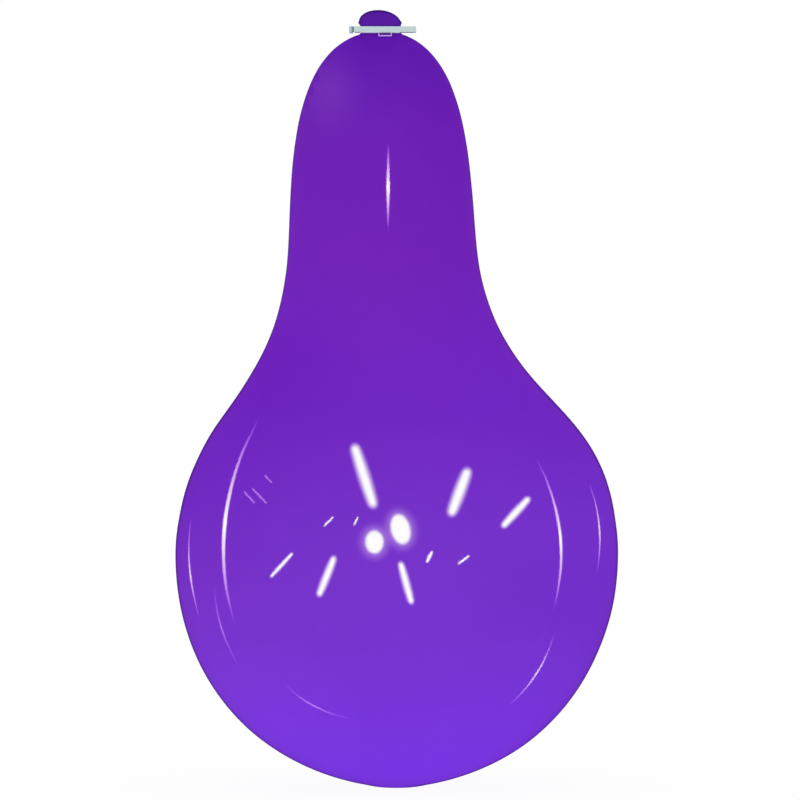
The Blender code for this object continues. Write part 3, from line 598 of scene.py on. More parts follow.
def smooth_surface(mesh):
    """A ray caster on the skin that gives the shaded normal."""
    mesh.calc_loop_triangles()
    co = np.array([v.co for v in mesh.vertices], float)
    normal = np.array([v.normal for v in mesh.vertices], float)
    tris = np.array([t.vertices for t in mesh.loop_triangles], int)
    tree = BVHTree.FromPolygons([tuple(v) for v in co], [tuple(t) for t in tris])

    def cast(origin, direction):
        hit, _, index, _ = tree.ray_cast(Vector(origin), Vector(direction))
        if hit is None:
            return None
        a, b, c = co[tris[index]]
        p = np.array(hit)
        v0, v1, v2 = b - a, c - a, p - a
        d00, d01, d11 = v0 @ v0, v0 @ v1, v1 @ v1
        d20, d21 = v2 @ v0, v2 @ v1
        det = d00 * d11 - d01 * d01
        v = (d11 * d20 - d01 * d21) / det
        w = (d00 * d21 - d01 * d20) / det
        nn = (1 - v - w) * normal[tris[index][0]] + v * normal[tris[index][1]] + w * normal[tris[index][2]]
        return p, nn / np.linalg.norm(nn)

    return cast


CAST = smooth_surface(skin)
FRONT = (np.array([VIEW_X, -VIEW_DISTANCE, VIEW_Z]), np.array([1.0, 0.0, 0.0]))
BACK = (np.array([-VIEW_X, VIEW_DISTANCE, VIEW_Z]), np.array([-1.0, 0.0, 0.0]))


def fresnel(cosine, ior=1.40):
    g = math.sqrt(ior * ior - 1.0 + cosine * cosine)
    a = (g - cosine) / (g + cosine)
    b = ((g + cosine) * cosine - 1.0) / ((g - cosine) * cosine + 1.0)
    return 0.5 * a * a * (1.0 + b * b)


def lamp_point(x, z, reach, viewer):
    """Where a lamp stands so that the viewer sees it mirrored in the latex at
    (x, z), both in mm on the plane through the balloon's axis, and how much
    of its light the latex mirrors there."""
    eye, across = viewer
    target = across * x * MM + np.array([0.0, 0.0, z * MM])
    ray = target - eye
    ray /= np.linalg.norm(ray)
    found = CAST(eye, ray)
    if found is None:
        return None
    p, n = found
    mirrored = ray - 2 * (ray @ n) * n
    return p + mirrored * reach, fresnel(abs(float(ray @ n)), LATEX_IOR)


def lamp_material():
    """Light that only the latex mirrors; it adds to what lies behind it."""
    mat = bpy.data.materials.new("lamp")
    mat.use_nodes = True
    tree = mat.node_tree
    tree.nodes.clear()
    out = tree.nodes.new("ShaderNodeOutputMaterial")
    emit = tree.nodes.new("ShaderNodeEmission")
    glow = tree.nodes.new("ShaderNodeAttribute")
    glow.attribute_name = "glow"
    clear = tree.nodes.new("ShaderNodeBsdfTransparent")
    both = tree.nodes.new("ShaderNodeAddShader")
    tree.links.new(glow.outputs["Color"], emit.inputs["Color"])
    tree.links.new(emit.outputs[0], both.inputs[0])
    tree.links.new(clear.outputs[0], both.inputs[1])
    tree.links.new(both.outputs[0], out.inputs[0])
    return mat


LAMP = lamp_material()
REACH = 0.09


def added_light(share, z, rosy=0.0):
    """Light to add over the purple skin at height z for a colour that is this
    share of the way from the skin's own colour to white; a rosy lamp keeps
    more of the purple where it is faint."""
    out = []
    for skin_tone, keep in (((118.0, 113.0, 109.0, 103.0), 0.28), ((49.0, 39.0, 35.0, 32.0), 0.0),
                            ((203.0, 190.0, 181.0, 172.0), 0.58)):
        own = float(np.interp(z, (250.0, 420.0, 550.0, 640.0), skin_tone))
        part = max(share, 0.0) ** (1.0 - rosy * keep)
        low, high = own / 255.0, (own + (254.0 - own) * part) / 255.0
        out.append(((high + 0.055) / 1.055) ** 2.4 - ((low + 0.055) / 1.055) ** 2.4)
    return out


def lamp(name, grid, share, reach=REACH, gain=1.0, rosy=0.0, viewer=FRONT):
    """A lamp sheet from a grid of (x, z) places in the picture plane."""
    rows, cols = len(grid), len(grid[0])
    verts, index, values = [], {}, []
    for i in range(rows):
        for j in range(cols):
            found = lamp_point(*grid[i][j], reach, viewer)
            if found is None:
                continue
            p, mirrored = found
            index[i, j] = len(verts)
            verts.append(tuple(p))
            light = added_light(share[i][j], grid[i][j][1], rosy)
            values.extend([gain * c / mirrored for c in light] + [1.0])
    faces = []
    for i in range(rows - 1):
        for j in range(cols - 1):
            corner = [(i, j), (i, j + 1), (i + 1, j + 1), (i + 1, j)]
            if all(c in index for c in corner) and any(share[r][c] > 0 for r, c in corner):
                faces.append([index[c] for c in corner])
    mesh = bpy.data.meshes.new(name)
    mesh.from_pydata(verts, [], faces)
    attribute = mesh.attributes.new("glow", "FLOAT_COLOR", "POINT")
    attribute.data.foreach_set("color", np.array(values, np.float32))
    obj = link_new(name, mesh, LAMP)
    obj.visible_camera = False
    obj.visible_diffuse = False
    obj.visible_shadow = False
    obj.visible_transmission = False
    obj.visible_volume_scatter = False
    return obj


def bar(name, a, b, half, soft, share=1.0, rosy=0.0, viewer=FRONT):
    """A straight bar lamp from a to b: full light within `half` mm of its
    core line, falling off over `soft` mm."""
    a, b = np.array(a, float), np.array(b, float)
    length = np.linalg.norm(b - a)
    along = (b - a) / length
    across = np.array([-along[1], along[0]])
    inset = min(0.35 * length, half + 0.5 * soft)
    reach = half + soft
    u = np.linspace(inset - reach, length - inset + reach, max(12, int((length + reach) / max(0.45, soft / 6))))
    v = np.linspace(-reach, reach, max(9, 2 * int(reach / max(0.35, soft / 6)) + 1))
    grid, light = [], []
    for s in u:
        belly = 0.82 + 0.25 * math.sin(math.pi * min(max(s / length, 0.0), 1.0))
        row, shares = [], []
        for t in v:
            off = max(inset - s, 0.0, s - (length - inset))
            d = math.hypot(off, t / belly)
            row.append(tuple(a + along * s + across * t))
            shares.append(share * min(max(1.0 - (d - half) / soft, 0.0), 1.0))
        grid.append(row)
        light.append(shares)
    return lamp(name, grid, light, rosy=rosy, viewer=viewer)


def arc(name, path, apex, width, share, viewer=FRONT):
    """A thin curved lamp, brightest and widest at `apex` (0 to 1 along it)."""
    pts = catmull_chain(path, 14)
    run = np.concatenate([[0.0], np.cumsum(np.linalg.norm(np.diff(pts, axis=0), axis=1))])
    total = run[-1]
    even = np.linspace(0.0, total, 81)
    pts = np.column_stack([np.interp(even, run, pts[:, c]) for c in range(2)])
    direction = np.gradient(pts, axis=0)
    direction /= np.linalg.norm(direction, axis=1)[:, None]
    across = np.column_stack([-direction[:, 1], direction[:, 0]])
    grid, light = [], []
    for s, p, w in zip(even, pts, across):
        t = s / total
        k = t / apex if t < apex else (1.0 - t) / (1.0 - apex)
        h = 0.5 * max(width * max(k, 0.0) ** 0.5, 0.8)
        row, shares = [], []
        for c in (-1.5, -1.25, -1.0, -0.75, -0.4, 0.0, 0.4, 0.75, 1.0, 1.25, 1.5):
            row.append(tuple(p + w * c * h))
            edge = min(max((1.0 - abs(c)) * h / min(0.7, h) + 0.5, 0.0), 1.0)
            shares.append(share * max(k, 0.0) ** 0.85 * edge)
        grid.append(row)
        light.append(shares)
    return lamp(name, grid, light, rosy=1.0, viewer=viewer)


def orb(name, x, z, half_a, half_b, tilt):
    """A round lamp that shows as an oval with a soft halo."""
    grid, light = [], []
    for d, share in ((-99.0, 1.0), (-6.0, 1.0), (-3.6, 1.0), (-2.7, 0.985), (-1.8, 0.94), (-0.9, 0.80),
                     (0.0, 0.50), (0.9, 0.30), (1.8, 0.24), (2.7, 0.20), (4.6, 0.12), (6.4, 0.055),
                     (8.2, 0.015), (9.6, 0.0)):
        row, shares = [], []
        for a in np.linspace(0, math.tau, 49):
            u = max(half_a + d, 0.05) * math.cos(a)
            v = max(half_b + d, 0.05) * math.sin(a)
            row.append((x + u * math.cos(tilt) - v * math.sin(tilt),
                        z + u * math.sin(tilt) + v * math.cos(tilt)))
            shares.append(share)
        grid.append(row)
        light.append(shares)
    return lamp(name, grid, light)


# bars: ends (x, z), core half width, soft edge, all in mm, and brightness
BARS = (
    ("lamp_bar_a", (-39.0, 313.2), (-20.6, 256.0), 1.85, 5.6, 1.0),
    ("lamp_bar_b", (65.9, 291.4), (49.6, 248.4), 1.9, 5.4, 1.0),
    ("lamp_bar_c", (121.8, 264.8), (97.1, 237.8), 1.2, 3.7, 1.0),
    ("lamp_bar_d", (-95.5, 213.7), (-115.4, 192.1), 0.5, 2.0, 1.0),
    ("lamp_bar_e", (-56.85, 210.75), (-71.45, 174.55), 1.12, 3.8, 1.0),
    ("lamp_bar_f", (3.5, 205.55), (14.0, 167.55), 1.1, 3.7, 1.0),
    ("lamp_bar_g", (-58.0, 247.2), (-66.7, 238.5), 0.30, 1.0, 1.0),
    ("lamp_bar_h", (-35.2, 247.2), (-39.2, 239.4), 0.25, 0.95, 1.0),
    ("lamp_bar_i", (32.7, 215.55), (27.7, 205.35), 0.6, 1.55, 1.0),
    ("lamp_bar_j", (66.8, 211.5), (56.4, 203.9), 0.36, 1.3, 1.0),
)
TICKS = (
    ("lamp_tick_a", (-121.1, 285.5), (-114.2, 278.4), 0.15, 0.8, 0.42),
    ("lamp_tick_b", (-132.3, 273.2), (-119.3, 259.6), 0.20, 0.9, 0.42),
    ("lamp_tick_c", (-140.0, 270.4), (-130.3, 260.0), 0.15, 0.9, 0.42),
)
for name, a, b, half, soft, share in BARS:
    bar(name, a, b, half, soft, share)
for name, a, b, half, soft, share in TICKS:
    bar(name, a, b, half, soft, share, rosy=1.0)
orb("lamp_orb_left", -20.2, 224.1, 8.7, 10.9, 0.0)
orb("lamp_orb_right", 3.7, 235.8, 9.2, 14.3, math.radians(13.9))

# arcs: path (x, z), where it is brightest, width in mm, brightness
ARCS = (
    ("lamp_arc_left", ((-126.2, 338.0), (-143.2, 301.7), (-154.2, 263.1), (-158.6, 224.6), (-156.8, 186.0),
                       (-148.8, 148.9)), 0.53, 3.4, 1.0),
    ("lamp_arc_far_left", ((-188.7, 246.2), (-190.2, 229.2), (-190.3, 207.2), (-187.9, 185.2),
                           (-183.3, 163.1), (-181.2, 154.5)), 0.58, 1.45, 0.84),
    ("lamp_arc_low_left", ((-167.2, 183.8), (-166.1, 170.4), (-162.6, 152.1), (-156.5, 133.7),
                           (-147.7, 115.4), (-145.4, 111.2)), 0.52, 1.25, 0.38),
    ("lamp_arc_bottom", ((-104.0, 94.8), (-86.3, 80.0), (-71.6, 71.8), (-56.9, 65.7), (-42.2, 62.2)),
     0.50, 1.3, 0.42),
    ("lamp_arc_right", ((128.5, 300.4), (137.7, 280.6), (145.9, 254.9), (150.3, 229.2), (150.9, 203.5),
                        (147.7, 177.9), (144.0, 161.5)), 0.54, 2.6, 1.0),
    ("lamp_arc_far_right", ((176.8, 277.5), (181.9, 262.3), (185.4, 243.8), (186.6, 225.5), (185.5, 207.2),
                            (184.2, 197.3)), 0.52, 1.3, 0.92),
    ("lamp_arc_low_right", ((144.8, 139.8), (137.8, 120.9), (130.2, 106.3), (120.0, 91.6), (103.6, 74.4)),
     0.50, 1.4, 0.85),
    ("lamp_streak_neck", ((-7.6, 589.6), (-7.65, 570.0), (-7.7, 550.0), (-7.8, 530.0), (-7.8, 510.0)),
     0.50, 3.1, 1.0),
)
for name, path, apex, width, share in ARCS:
    arc(name, path, apex, width, share)


def veil(name, x, z, half_x, half_z, share):
    """A broad, faint soft box."""
    grid, light = [], []
    for v in np.linspace(-1.0, 1.0, 17):
        row, shares = [], []
        for u in np.linspace(-1.0, 1.0, 17):
            row.append((x + u * half_x, z + v * half_z))
            shares.append(share * float(smooth(1.0 - math.hypot(u, v))))
        grid.append(row)
        light.append(shares)
    return lamp(name, grid, light)


veil("lamp_veil_neck", -61.0, 640.0, 40.0, 50.0, 0.065)

# highlights on the far side, for whoever walks round it
for name, a, b, half, soft in (
        ("lamp_back_bar_a", (38.0, 300.0), (22.0, 250.0), 1.8, 5.6), ("lamp_back_bar_b", (-58.0, 285.0), (-44.0, 246.0), 1.8, 5.4),
        ("lamp_back_bar_c", (-12.0, 208.0), (-20.0, 172.0), 1.1, 3.8), ("lamp_back_bar_d", (60.0, 206.0), (74.0, 176.0), 1.1, 3.8),
        ("lamp_back_bar_e", (-88.0, 212.0), (-100.0, 196.0), 0.6, 2.2)):
    bar(name, a, b, half, soft, viewer=BACK)
arc("lamp_back_streak", ((13.0, 590.0), (13.2, 570.0), (13.4, 550.0), (13.5, 530.0), (13.4, 505.0)), 0.5, 3.4, 1.0, viewer=BACK)
arc("lamp_back_arc_left", ((-84.0, 300.0), (-98.0, 268.0), (-105.0, 232.0), (-104.0, 196.0), (-96.0, 160.0)), 0.5, 3.0, 0.9, viewer=BACK)
arc("lamp_back_arc_right", ((86.0, 296.0), (99.0, 262.0), (106.0, 228.0), (104.0, 192.0), (95.0, 156.0)), 0.5, 2.6, 0.9, viewer=BACK)

# =====================================================================
# materials of the carried-over pieces
# =====================================================================
class Grain(Nodes):
    """Two close tones and an uneven gloss, to be marked further and closed
    with done()."""

    def __init__(self, name, dark, light, rough, scale, metallic=0.0, stretch=(1.0, 1.0, 1.0),
                 spread=0.10, bump=0.25, depth=0.00002):
        super().__init__(name)
        self.at = self.place()
        split = self.add("ShaderNodeSeparateXYZ")
        self.link(self.at, split.inputs[0])
        self.x, self.y, self.z = split.outputs
        seat = self.at
        if stretch != (1.0, 1.0, 1.0):
            pull = self.add("ShaderNodeMapping")
            pull.inputs["Scale"].default_value = stretch
            self.link(self.at, pull.inputs["Vector"])
            seat = pull.outputs[0]
        self.broad = self.noise(seat, scale * 0.05, 2.0)
        self.fine = self.noise(seat, scale, 3.0, 0.6)
        both = self.math("ADD", self.math("MULTIPLY", self.broad, 0.65), self.math("MULTIPLY", self.fine, 0.35))
        both = self.math("MULTIPLY", self.math("SUBTRACT", both, 0.28), 2.2, clamp=True)
        self.colour = self.mix(both, srgb(*dark), srgb(*light))
        self.gloss = self.math("ADD", self.math("MULTIPLY", self.math("SUBTRACT", self.fine, 0.5), spread), rough,
                               clamp=True)
        self.metal = metallic
        self.relief = self.fine
        self.bump_by = (bump, depth)

    def band(self, value, low, high, edge):
        """1 between low and high, easing over edge, 0 outside."""
        up = self.math("DIVIDE", self.math("SUBTRACT", value, low - 0.5 * edge), edge, clamp=True)
        down = self.math("DIVIDE", self.math("SUBTRACT", high + 0.5 * edge, value), edge, clamp=True)
        return self.math("MULTIPLY", up, down)

    def radius(self, cx=0.0, cy=0.0):
        flat = self.add("ShaderNodeCombineXYZ")
        self.link(self.x, flat.inputs[0])
        self.link(self.y, flat.inputs[1])
        far = self.add("ShaderNodeVectorMath", operation="DISTANCE")
        far.inputs[1].default_value = (cx, cy, 0.0)
        self.link(flat.outputs[0], far.inputs[0])
        return far.outputs["Value"]

    def nearest(self, centres):
        near = None
        for cx, cy in centres:
            r = self.radius(cx, cy)
            near = r if near is None else self.math("MINIMUM", near, r)
        return near

    def rings(self, radius, pitch, depth=0.5):
        """Fine lathe marks round an axis."""
        wave = self.math("SINE", self.math("MULTIPLY", radius, math.tau / pitch))
        return self.math("ADD", self.math("MULTIPLY", wave, 0.5 * depth), 0.5)

    def paint(self, mask, colour):
        self.colour = self.mix(mask, self.colour, srgb(*colour))

    def rougher(self, mask, amount):
        self.gloss = self.math("ADD", self.gloss, self.math("MULTIPLY", mask, amount), clamp=True)

    def done(self):
        self.link(self.colour, self.bsdf.inputs["Base Color"])
        self.link(self.gloss, self.bsdf.inputs["Roughness"])
        if isinstance(self.metal, float):
            self.set(Metallic=self.metal)
        else:
            self.link(self.metal, self.bsdf.inputs["Metallic"])
        strength, depth = self.bump_by
        self.link(self.bump(self.relief, strength, depth), self.bsdf.inputs["Normal"])
        return self.mat


def clip_plastic():
    n = Grain("frosted_clip_plastic", (199, 225, 226), (209, 230, 215), 0.42, 700.0, bump=0.12)
    # the block left of the groove is a shade deeper
    n.paint(n.band(n.x, -0.0440, -0.0410, 0.0004), (186, 206, 207))
    # painted shade: the groove at the hinge is painted dark, brown at its foot and grey above
    steep = n.math("DIVIDE", n.math("SUBTRACT", n.z, 0.6915), 0.0054, clamp=True)
    groove_shade = n.ramp(steep, ((0.0, srgb(96, 88, 76)), (0.22, srgb(112, 116, 112)), (0.50, srgb(126, 142, 146)),
                          (0.85, srgb(122, 136, 140)), (1.0, srgb(92, 104, 104))))
    n.colour = n.mix(n.math("MULTIPLY", n.band(n.x, -0.0411, -0.0402, 0.0004), 0.55), n.colour, groove_shade)
    n.colour = n.mix(n.math("MULTIPLY", n.band(n.x, -0.0402, -0.0391, 0.0003), 0.95), n.colour, groove_shade)
    # painted shade: the lower edge of the bar, where it stands free of the balloon, is painted darker for its shaded
    # underside
    free = n.math("MAXIMUM", n.band(n.x, -0.0389, -0.0305, 0.0014), n.band(n.x, 0.0045, 0.0172, 0.0014))
    n.colour = n.mix(n.math("MULTIPLY", n.math("MULTIPLY", free, n.band(n.z, 0.6909, 0.6918, 0.0003)), 0.38),
                     n.colour, srgb(128, 138, 130))
    # a faint moulding line marks the end cap
    n.paint(n.math("MULTIPLY", n.band(n.x, 0.0163, 0.0168, 0.0002), 0.35), (150, 160, 158))
    # painted see-through light: the thin loop is painted lilac, standing in for the purple latex seen through it
    n.paint(n.math("MULTIPLY", n.band(n.z, 0.6800, 0.6909, 0.0003), 0.92), (220, 156, 255))
    # painted glow: a strip of the bar's underside glows faintly towards the camera, standing in for daylight let
    # through the frosted plastic
    facing = n.add("ShaderNodeSeparateXYZ")
    n.link(n.add("ShaderNodeNewGeometry").outputs["Normal"], facing.inputs[0])
    under = n.math("GREATER_THAN", n.math("MULTIPLY", facing.outputs[2], -1.0), 0.6)
    under = n.math("MULTIPLY", under, n.add("ShaderNodeLightPath").outputs["Is Camera Ray"])
    glow_strip = n.math("MULTIPLY", under, n.band(n.z, 0.6910, 0.6925, 0.0003))
    n.link(n.math("MULTIPLY", n.math("MULTIPLY", glow_strip, n.band(n.x, -0.0330, 0.0030, 0.0010)), 1.6),
           n.bsdf.inputs["Emission Strength"])
    n.link(n.mix(0.7, n.colour, srgb(232, 206, 244)), n.bsdf.inputs["Emission Color"])
    return n.done()


def pin_steel():
    n = Grain("stainless_pin", (132, 126, 116), (188, 186, 180), 0.32, 5200.0, 0.85, stretch=(1.0, 1.0, 0.12))
    ends = n.math("SUBTRACT", 1.0, n.band(n.z, 0.6916, 0.6964, 0.0006))
    n.paint(n.math("MULTIPLY", n.math("MULTIPLY", ends, n.broad), 0.9), (112, 84, 58))
    n.rougher(ends, 0.15)
    return n.done()


def housing_plastic():
    n = Grain("white_housing", (221, 221, 224), (234, 234, 233), 0.46, 2600.0, bump=0.35)
    r = n.radius()
    # moulding line round the wall, gate mark underneath, a little grey on the foot
    n.paint(n.math("MULTIPLY", n.band(n.z, 0.0092, 0.0095, 0.0001), n.band(r, 0.0244, 0.0300, 0.0002)), (196, 196, 200))
    n.paint(n.math("MULTIPLY", n.band(n.z, -0.0010, 0.0019, 0.0006), 0.30), (190, 189, 184))
    n.paint(n.math("MULTIPLY", n.band(n.radius(0.0, -0.0185), 0.0, 0.0009, 0.0002), 0.5), (176, 176, 180))
    n.rougher(n.band(n.z, -0.0010, 0.0016, 0.0004), 0.12)
    return n.done()


def door_plastic():
    n = Grain("grey_door", (186, 188, 197), (201, 203, 210), 0.48, 2600.0, bump=0.35)
    r = n.radius()
    # coin wear round the slot, and faint turned rings on the face
    n.paint(n.math("MULTIPLY", n.math("MULTIPLY", n.band(n.y, -0.0016, 0.0016, 0.0006), n.band(r, 0.0, 0.0070, 0.0010)),
                   n.broad), (150, 152, 160))
    n.paint(n.math("MULTIPLY", n.rings(r, 0.0010, 0.6), 0.10), (168, 170, 178))
    n.rougher(n.band(n.y, -0.0018, 0.0018, 0.0006), -0.10)
    return n.done()


def seal_silicone():
    n = Grain("red_silicone", (176, 48, 38), (204, 72, 60), 0.52, 3000.0, bump=0.2)
    specks = n.math("GREATER_THAN", n.noise(n.at, 6500.0, 1.0), 0.70)
    n.paint(n.math("MULTIPLY", specks, 0.45), (222, 180, 172))
    return n.done()


def cell_can():
    n = Grain("coin_cell_nickel", (194, 194, 196), (220, 220, 223), 0.26, 3200.0, 0.95, bump=0.08)
    r = n.radius()
    turned = n.rings(r, 0.00042, 0.8)
    n.paint(n.math("MULTIPLY", turned, 0.22), (160, 160, 164))
    n.rougher(turned, 0.06)
    # the dark gasket between can and cap, at the top edge of each cell
    for top in (0.00745, 0.01095):
        n.paint(n.math("MULTIPLY", n.band(r, 0.00885, 0.00925, 0.00012), n.band(n.z, top - 0.0005, top + 0.0003, 0.0001)),
                (44, 44, 48))
    return n.done()


def contact_metal():
    n = Grain("nickel_contact", (196, 186, 150), (224, 214, 176), 0.30, 4200.0, 0.95, stretch=(1.0, 1.0, 0.15))
    n.paint(n.math("MULTIPLY", n.math("GREATER_THAN", n.broad, 0.60), 0.35), (150, 132, 98))
    return n.done()


def ballast_steel():
    n = Grain("zinc_plated_steel", (150, 153, 158), (182, 185, 190), 0.40, 1800.0, 0.90)
    spangle = n.add("ShaderNodeTexVoronoi", feature="F1")
    spangle.inputs["Scale"].default_value = 420.0
    n.link(n.at, spangle.inputs["Vector"])
    tone = n.add("ShaderNodeSeparateColor")
    n.link(spangle.outputs["Color"], tone.inputs[0])
    n.paint(n.math("MULTIPLY", tone.outputs[0], 0.38), (206, 208, 212))
    n.rougher(tone.outputs[1], 0.12)
    n.paint(n.math("MULTIPLY", n.math("GREATER_THAN", n.broad, 0.66), 0.25), (206, 196, 160))
    return n.done()


def board_laminate():
    n = Grain("green_board", (22, 104, 64), (34, 128, 80), 0.34, 1500.0, bump=0.10)
    r = n.radius()
    # copper tracks show through the mask as paler lines on a square grid
    track = None
    for axis, pitch, cut in ((n.x, 0.00254, 0.52), (n.y, 0.00254, 0.48)):
        line = n.math("ABSOLUTE", n.math("SINE", n.math("MULTIPLY", axis, math.pi / pitch)))
        line = n.math("LESS_THAN", line, 0.20)
        cells = n.noise(n.at, 160.0 if axis is n.x else 131.0, 0.0)
        line = n.math("MULTIPLY", line, n.math("GREATER_THAN", cells, cut))
        track = line if track is None else n.math("MAXIMUM", track, line)
    n.paint(n.math("MULTIPLY", track, 0.55), (64, 158, 100))
    # tinned rings round the three screw holes, and round the three lamps
    posts = n.nearest([(0.01870 * math.cos(math.radians(a)), 0.01870 * math.sin(math.radians(a)))
                       for a in (60.0, 180.0, 300.0)])
    tin = n.band(posts, 0.0, 0.0026, 0.0001)
    lamps = n.nearest([(0.0050 * math.cos(math.radians(a)), 0.0050 * math.sin(math.radians(a)))
                       for a in (90.0, 210.0, 330.0)])
    tin = n.math("MAXIMUM", tin, n.math("MULTIPLY", n.band(lamps, 0.0027, 0.0031, 0.0001), 0.9))
    n.paint(tin, (196, 198, 200))
    n.metal = n.math("MULTIPLY", tin, 0.9)
    # bare laminate on the routed edge
    n.paint(n.math("MULTIPLY", n.band(r, 0.0208, 0.0220, 0.0001), 0.8), (196, 178, 128))
    return n.done()


def led_case():
    n = Grain("led_case", (236, 234, 216), (246, 245, 232), 0.30, 2400.0, bump=0.08)
    lamps = n.nearest([(0.0050 * math.cos(math.radians(a)), 0.0050 * math.sin(math.radians(a)))
                       for a in (90.0, 210.0, 330.0)])
    # the phosphor window of each, with a brighter rim, and three dark dice in it
    window = n.math("MULTIPLY", n.band(lamps, 0.0, 0.0018, 0.0001), n.math("GREATER_THAN", n.z, 0.0165))
    n.paint(window, (232, 206, 84))
    dice = n.math("MULTIPLY", n.band(lamps, 0.0, 0.00042, 0.0001), window)
    n.paint(n.math("MULTIPLY", dice, 0.7), (120, 96, 40))
    n.rougher(window, -0.16)
    return n.done()


def chip_epoxy():
    n = Grain("chip_epoxy", (28, 28, 31), (46, 46, 48), 0.56, 5200.0, bump=0.4)
    # tinned legs either side of the package, and the dot at its first leg
    legs = n.math("MULTIPLY", n.math("SUBTRACT", 1.0, n.band(n.y, 0.01327, 0.01723, 0.0001)),
                  n.band(n.y, 0.0110, 0.0200, 0.0001))
    # the resistor's two ends
    ends = n.math("MULTIPLY", n.band(n.y, -0.0130, -0.0098, 0.0001),
                  n.math("GREATER_THAN", n.math("ABSOLUTE", n.math("ADD", n.math("SUBTRACT", n.x, n.y), 0.0)), 0.00068))
    metal = n.math("MAXIMUM", legs, ends, clamp=True)
    n.paint(metal, (198, 199, 202))
    n.metal = n.math("MULTIPLY", metal, 0.9)
    n.rougher(metal, -0.2)
    n.paint(n.math("MULTIPLY", n.band(n.radius(-0.0112, 0.0142), 0.0, 0.00038, 0.0001), 0.8), (92, 92, 95))
    return n.done()


def capacitor_ceramic():
    n = Grain("capacitor_ceramic", (158, 120, 82), (182, 142, 100), 0.46, 3600.0, bump=0.2)
    ends = n.math("SUBTRACT", 1.0, n.band(n.x, -0.00705, -0.00485, 0.0001))
    n.paint(ends, (200, 201, 203))
    n.metal = n.math("MULTIPLY", ends, 0.9)
    n.rougher(ends, -0.12)
    return n.done()


def switch_plastic():
    n = Grain("switch_nylon", (38, 38, 40), (58, 58, 60), 0.50, 3800.0, bump=0.3)
    cover = n.math("MULTIPLY", n.band(n.z, 0.0090, 0.01075, 0.0001), n.band(n.x, 0.0158, 0.0194, 0.0002))
    n.paint(cover, (190, 191, 194))
    n.metal = n.math("MULTIPLY", cover, 0.9)
    return n.done()


def plunger_plastic():
    n = Grain("plunger_acetal", (216, 210, 198), (232, 227, 216), 0.36, 3000.0, stretch=(0.3, 1.0, 1.0), bump=0.15)
    n.paint(n.math("MULTIPLY", n.band(n.x, 0.0210, 0.0220, 0.0004), 0.4), (180, 172, 158))
    return n.done()


def button_silicone():
    n = Grain("violet_button", (132, 90, 186), (150, 108, 202), 0.56, 3400.0, bump=0.3)
    # a paler raised ring on the pressed face
    flat = n.add("ShaderNodeCombineXYZ")
    n.link(n.y, flat.inputs[0])
    n.link(n.z, flat.inputs[1])
    far = n.add("ShaderNodeVectorMath", operation="DISTANCE")
    far.inputs[1].default_value = (0.0, 0.0120, 0.0)
    n.link(flat.outputs[0], far.inputs[0])
    ring = n.math("MULTIPLY", n.band(far.outputs["Value"], 0.0013, 0.0018, 0.0002), n.math("GREATER_THAN", n.x, 0.0250))
    n.paint(n.math("MULTIPLY", ring, 0.6), (198, 168, 236))
    return n.done()


def reflector_plastic():
    n = Grain("white_reflector", (236, 236, 240), (247, 247, 248), 0.14, 900.0, spread=0.05, bump=0.10, depth=0.00004)
    n.paint(n.math("MULTIPLY", n.rings(n.radius(), 0.0016, 0.7), 0.08), (214, 216, 222))
    return n.done()


def lens_plastic():
    n = Grain("frosted_lens", (232, 236, 244), (245, 247, 251), 0.30, 2200.0, spread=0.16, bump=0.35)
    # fine prism rings under the crown spread the light
    ring = n.rings(n.radius(), 0.0021, 1.0)
    n.relief = n.math("ADD", n.math("MULTIPLY", n.fine, 0.10), n.math("MULTIPLY", ring, 0.90))
    n.bump_by = (0.22, 0.00009)
    n.rougher(n.band(n.z, 0.0160, 0.0182, 0.0004), 0.10)
    n.set(Transmission_Weight=0.55, IOR=1.49)
    return n.done()


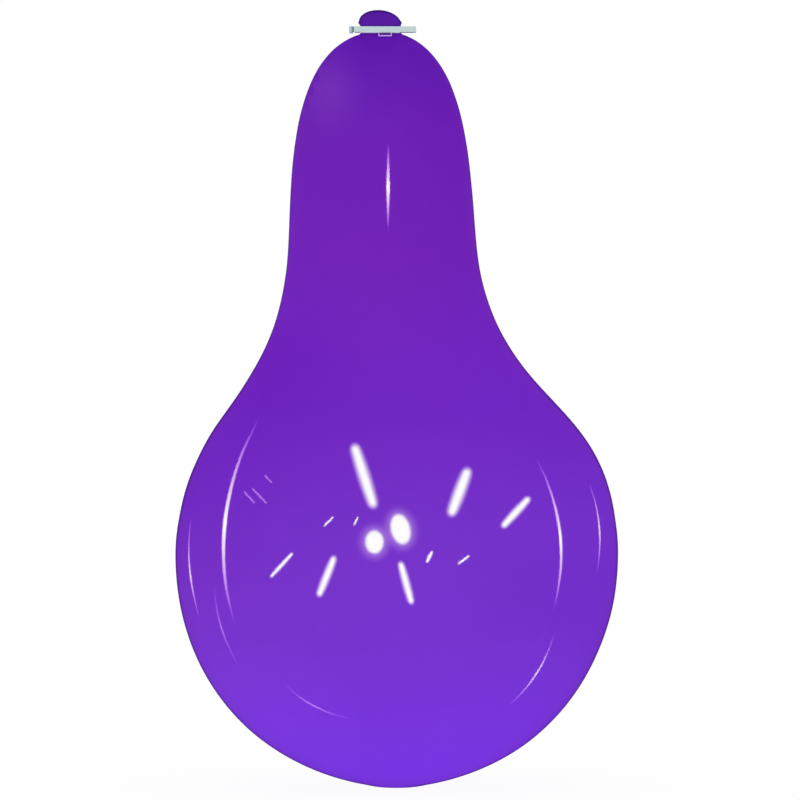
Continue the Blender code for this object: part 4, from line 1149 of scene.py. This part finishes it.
def screw_steel():
    n = Grain("zinc_screw", (172, 172, 166), (204, 204, 198), 0.30, 4200.0, 0.92)
    posts = n.nearest([(0.01870 * math.cos(math.radians(a)), 0.01870 * math.sin(math.radians(a)))
                       for a in (60.0, 180.0, 300.0)])
    turned = n.rings(posts, 0.00022, 0.8)
    n.paint(n.math("MULTIPLY", turned, 0.20), (146, 146, 142))
    # the thread, as fine grooves down the shank, with painted shade in the grooves
    thread_and_groove_shade = n.math("MULTIPLY", n.math("ADD", n.math("MULTIPLY", n.math("SINE", n.math("MULTIPLY", n.z, math.tau / 0.0007)),
                                                     0.5), 0.5), n.math("LESS_THAN", n.z, 0.0154))
    n.paint(n.math("MULTIPLY", thread_and_groove_shade, 0.45), (104, 104, 102))
    n.relief = n.math("ADD", n.math("MULTIPLY", n.fine, 0.3), n.math("MULTIPLY", thread_and_groove_shade, 0.7))
    n.bump_by = (0.5, 0.00010)
    return n.done()


MAKERS = {
    "clip_plastic": (clip_plastic, 0.22), "pin_steel": (pin_steel, 0.12), "housing_plastic": (housing_plastic, 0.25),
    "door_plastic": (door_plastic, 0.20), "seal_silicone": (seal_silicone, 0.0), "cell_can": (cell_can, 0.22),
    "contact_metal": (contact_metal, 0.04), "ballast_steel": (ballast_steel, 0.35),
    "board_laminate": (board_laminate, 0.08), "led_case": (led_case, 0.12), "chip_epoxy": (chip_epoxy, 0.08),
    "capacitor_ceramic": (capacitor_ceramic, 0.12), "switch_plastic": (switch_plastic, 0.12),
    "plunger_plastic": (plunger_plastic, 0.15), "button_silicone": (button_silicone, 0.25),
    "reflector_plastic": (reflector_plastic, 0.12), "lens_plastic": (lens_plastic, 0.25),
    "screw_steel": (screw_steel, 0.12),
}
slots = {s["node"]: s["material_slot"] for s in frame["record"]["subparts"]}
made = {}
for node, obj in frame["nodes"].items():
    if node == "balloon_envelope":
        continue
    slot = slots[node]
    maker, edge = MAKERS[slot]
    if slot not in made:
        made[slot] = maker()
    mesh = obj.data
    mesh.materials.clear()
    mesh.materials.append(made[slot])
    # joined faces, small rounded edges and clean shading
    if "custom_normal" in mesh.attributes:
        mesh.attributes.remove(mesh.attributes["custom_normal"])
    if "sharp_edge" in mesh.attributes:
        mesh.attributes.remove(mesh.attributes["sharp_edge"])
    mesh.shade_smooth()
    weld = obj.modifiers.new("weld", "WELD")
    weld.merge_threshold = 1e-6
    if edge:
        plane = obj.modifiers.new("plane", "DECIMATE")
        plane.decimate_type = "DISSOLVE"
        plane.angle_limit = math.radians(0.5)
        bevel = obj.modifiers.new("bevel", "BEVEL")
        bevel.width = edge * MM
        bevel.segments = 2
        bevel.limit_method = "ANGLE"
        bevel.angle_limit = math.radians(40.0)
        bevel.use_clamp_overlap = True
    even = obj.modifiers.new("even", "WEIGHTED_NORMAL")
    even.weight = 60
    even.keep_sharp = False
    if node.startswith("clip_"):
        obj.visible_glossy = False
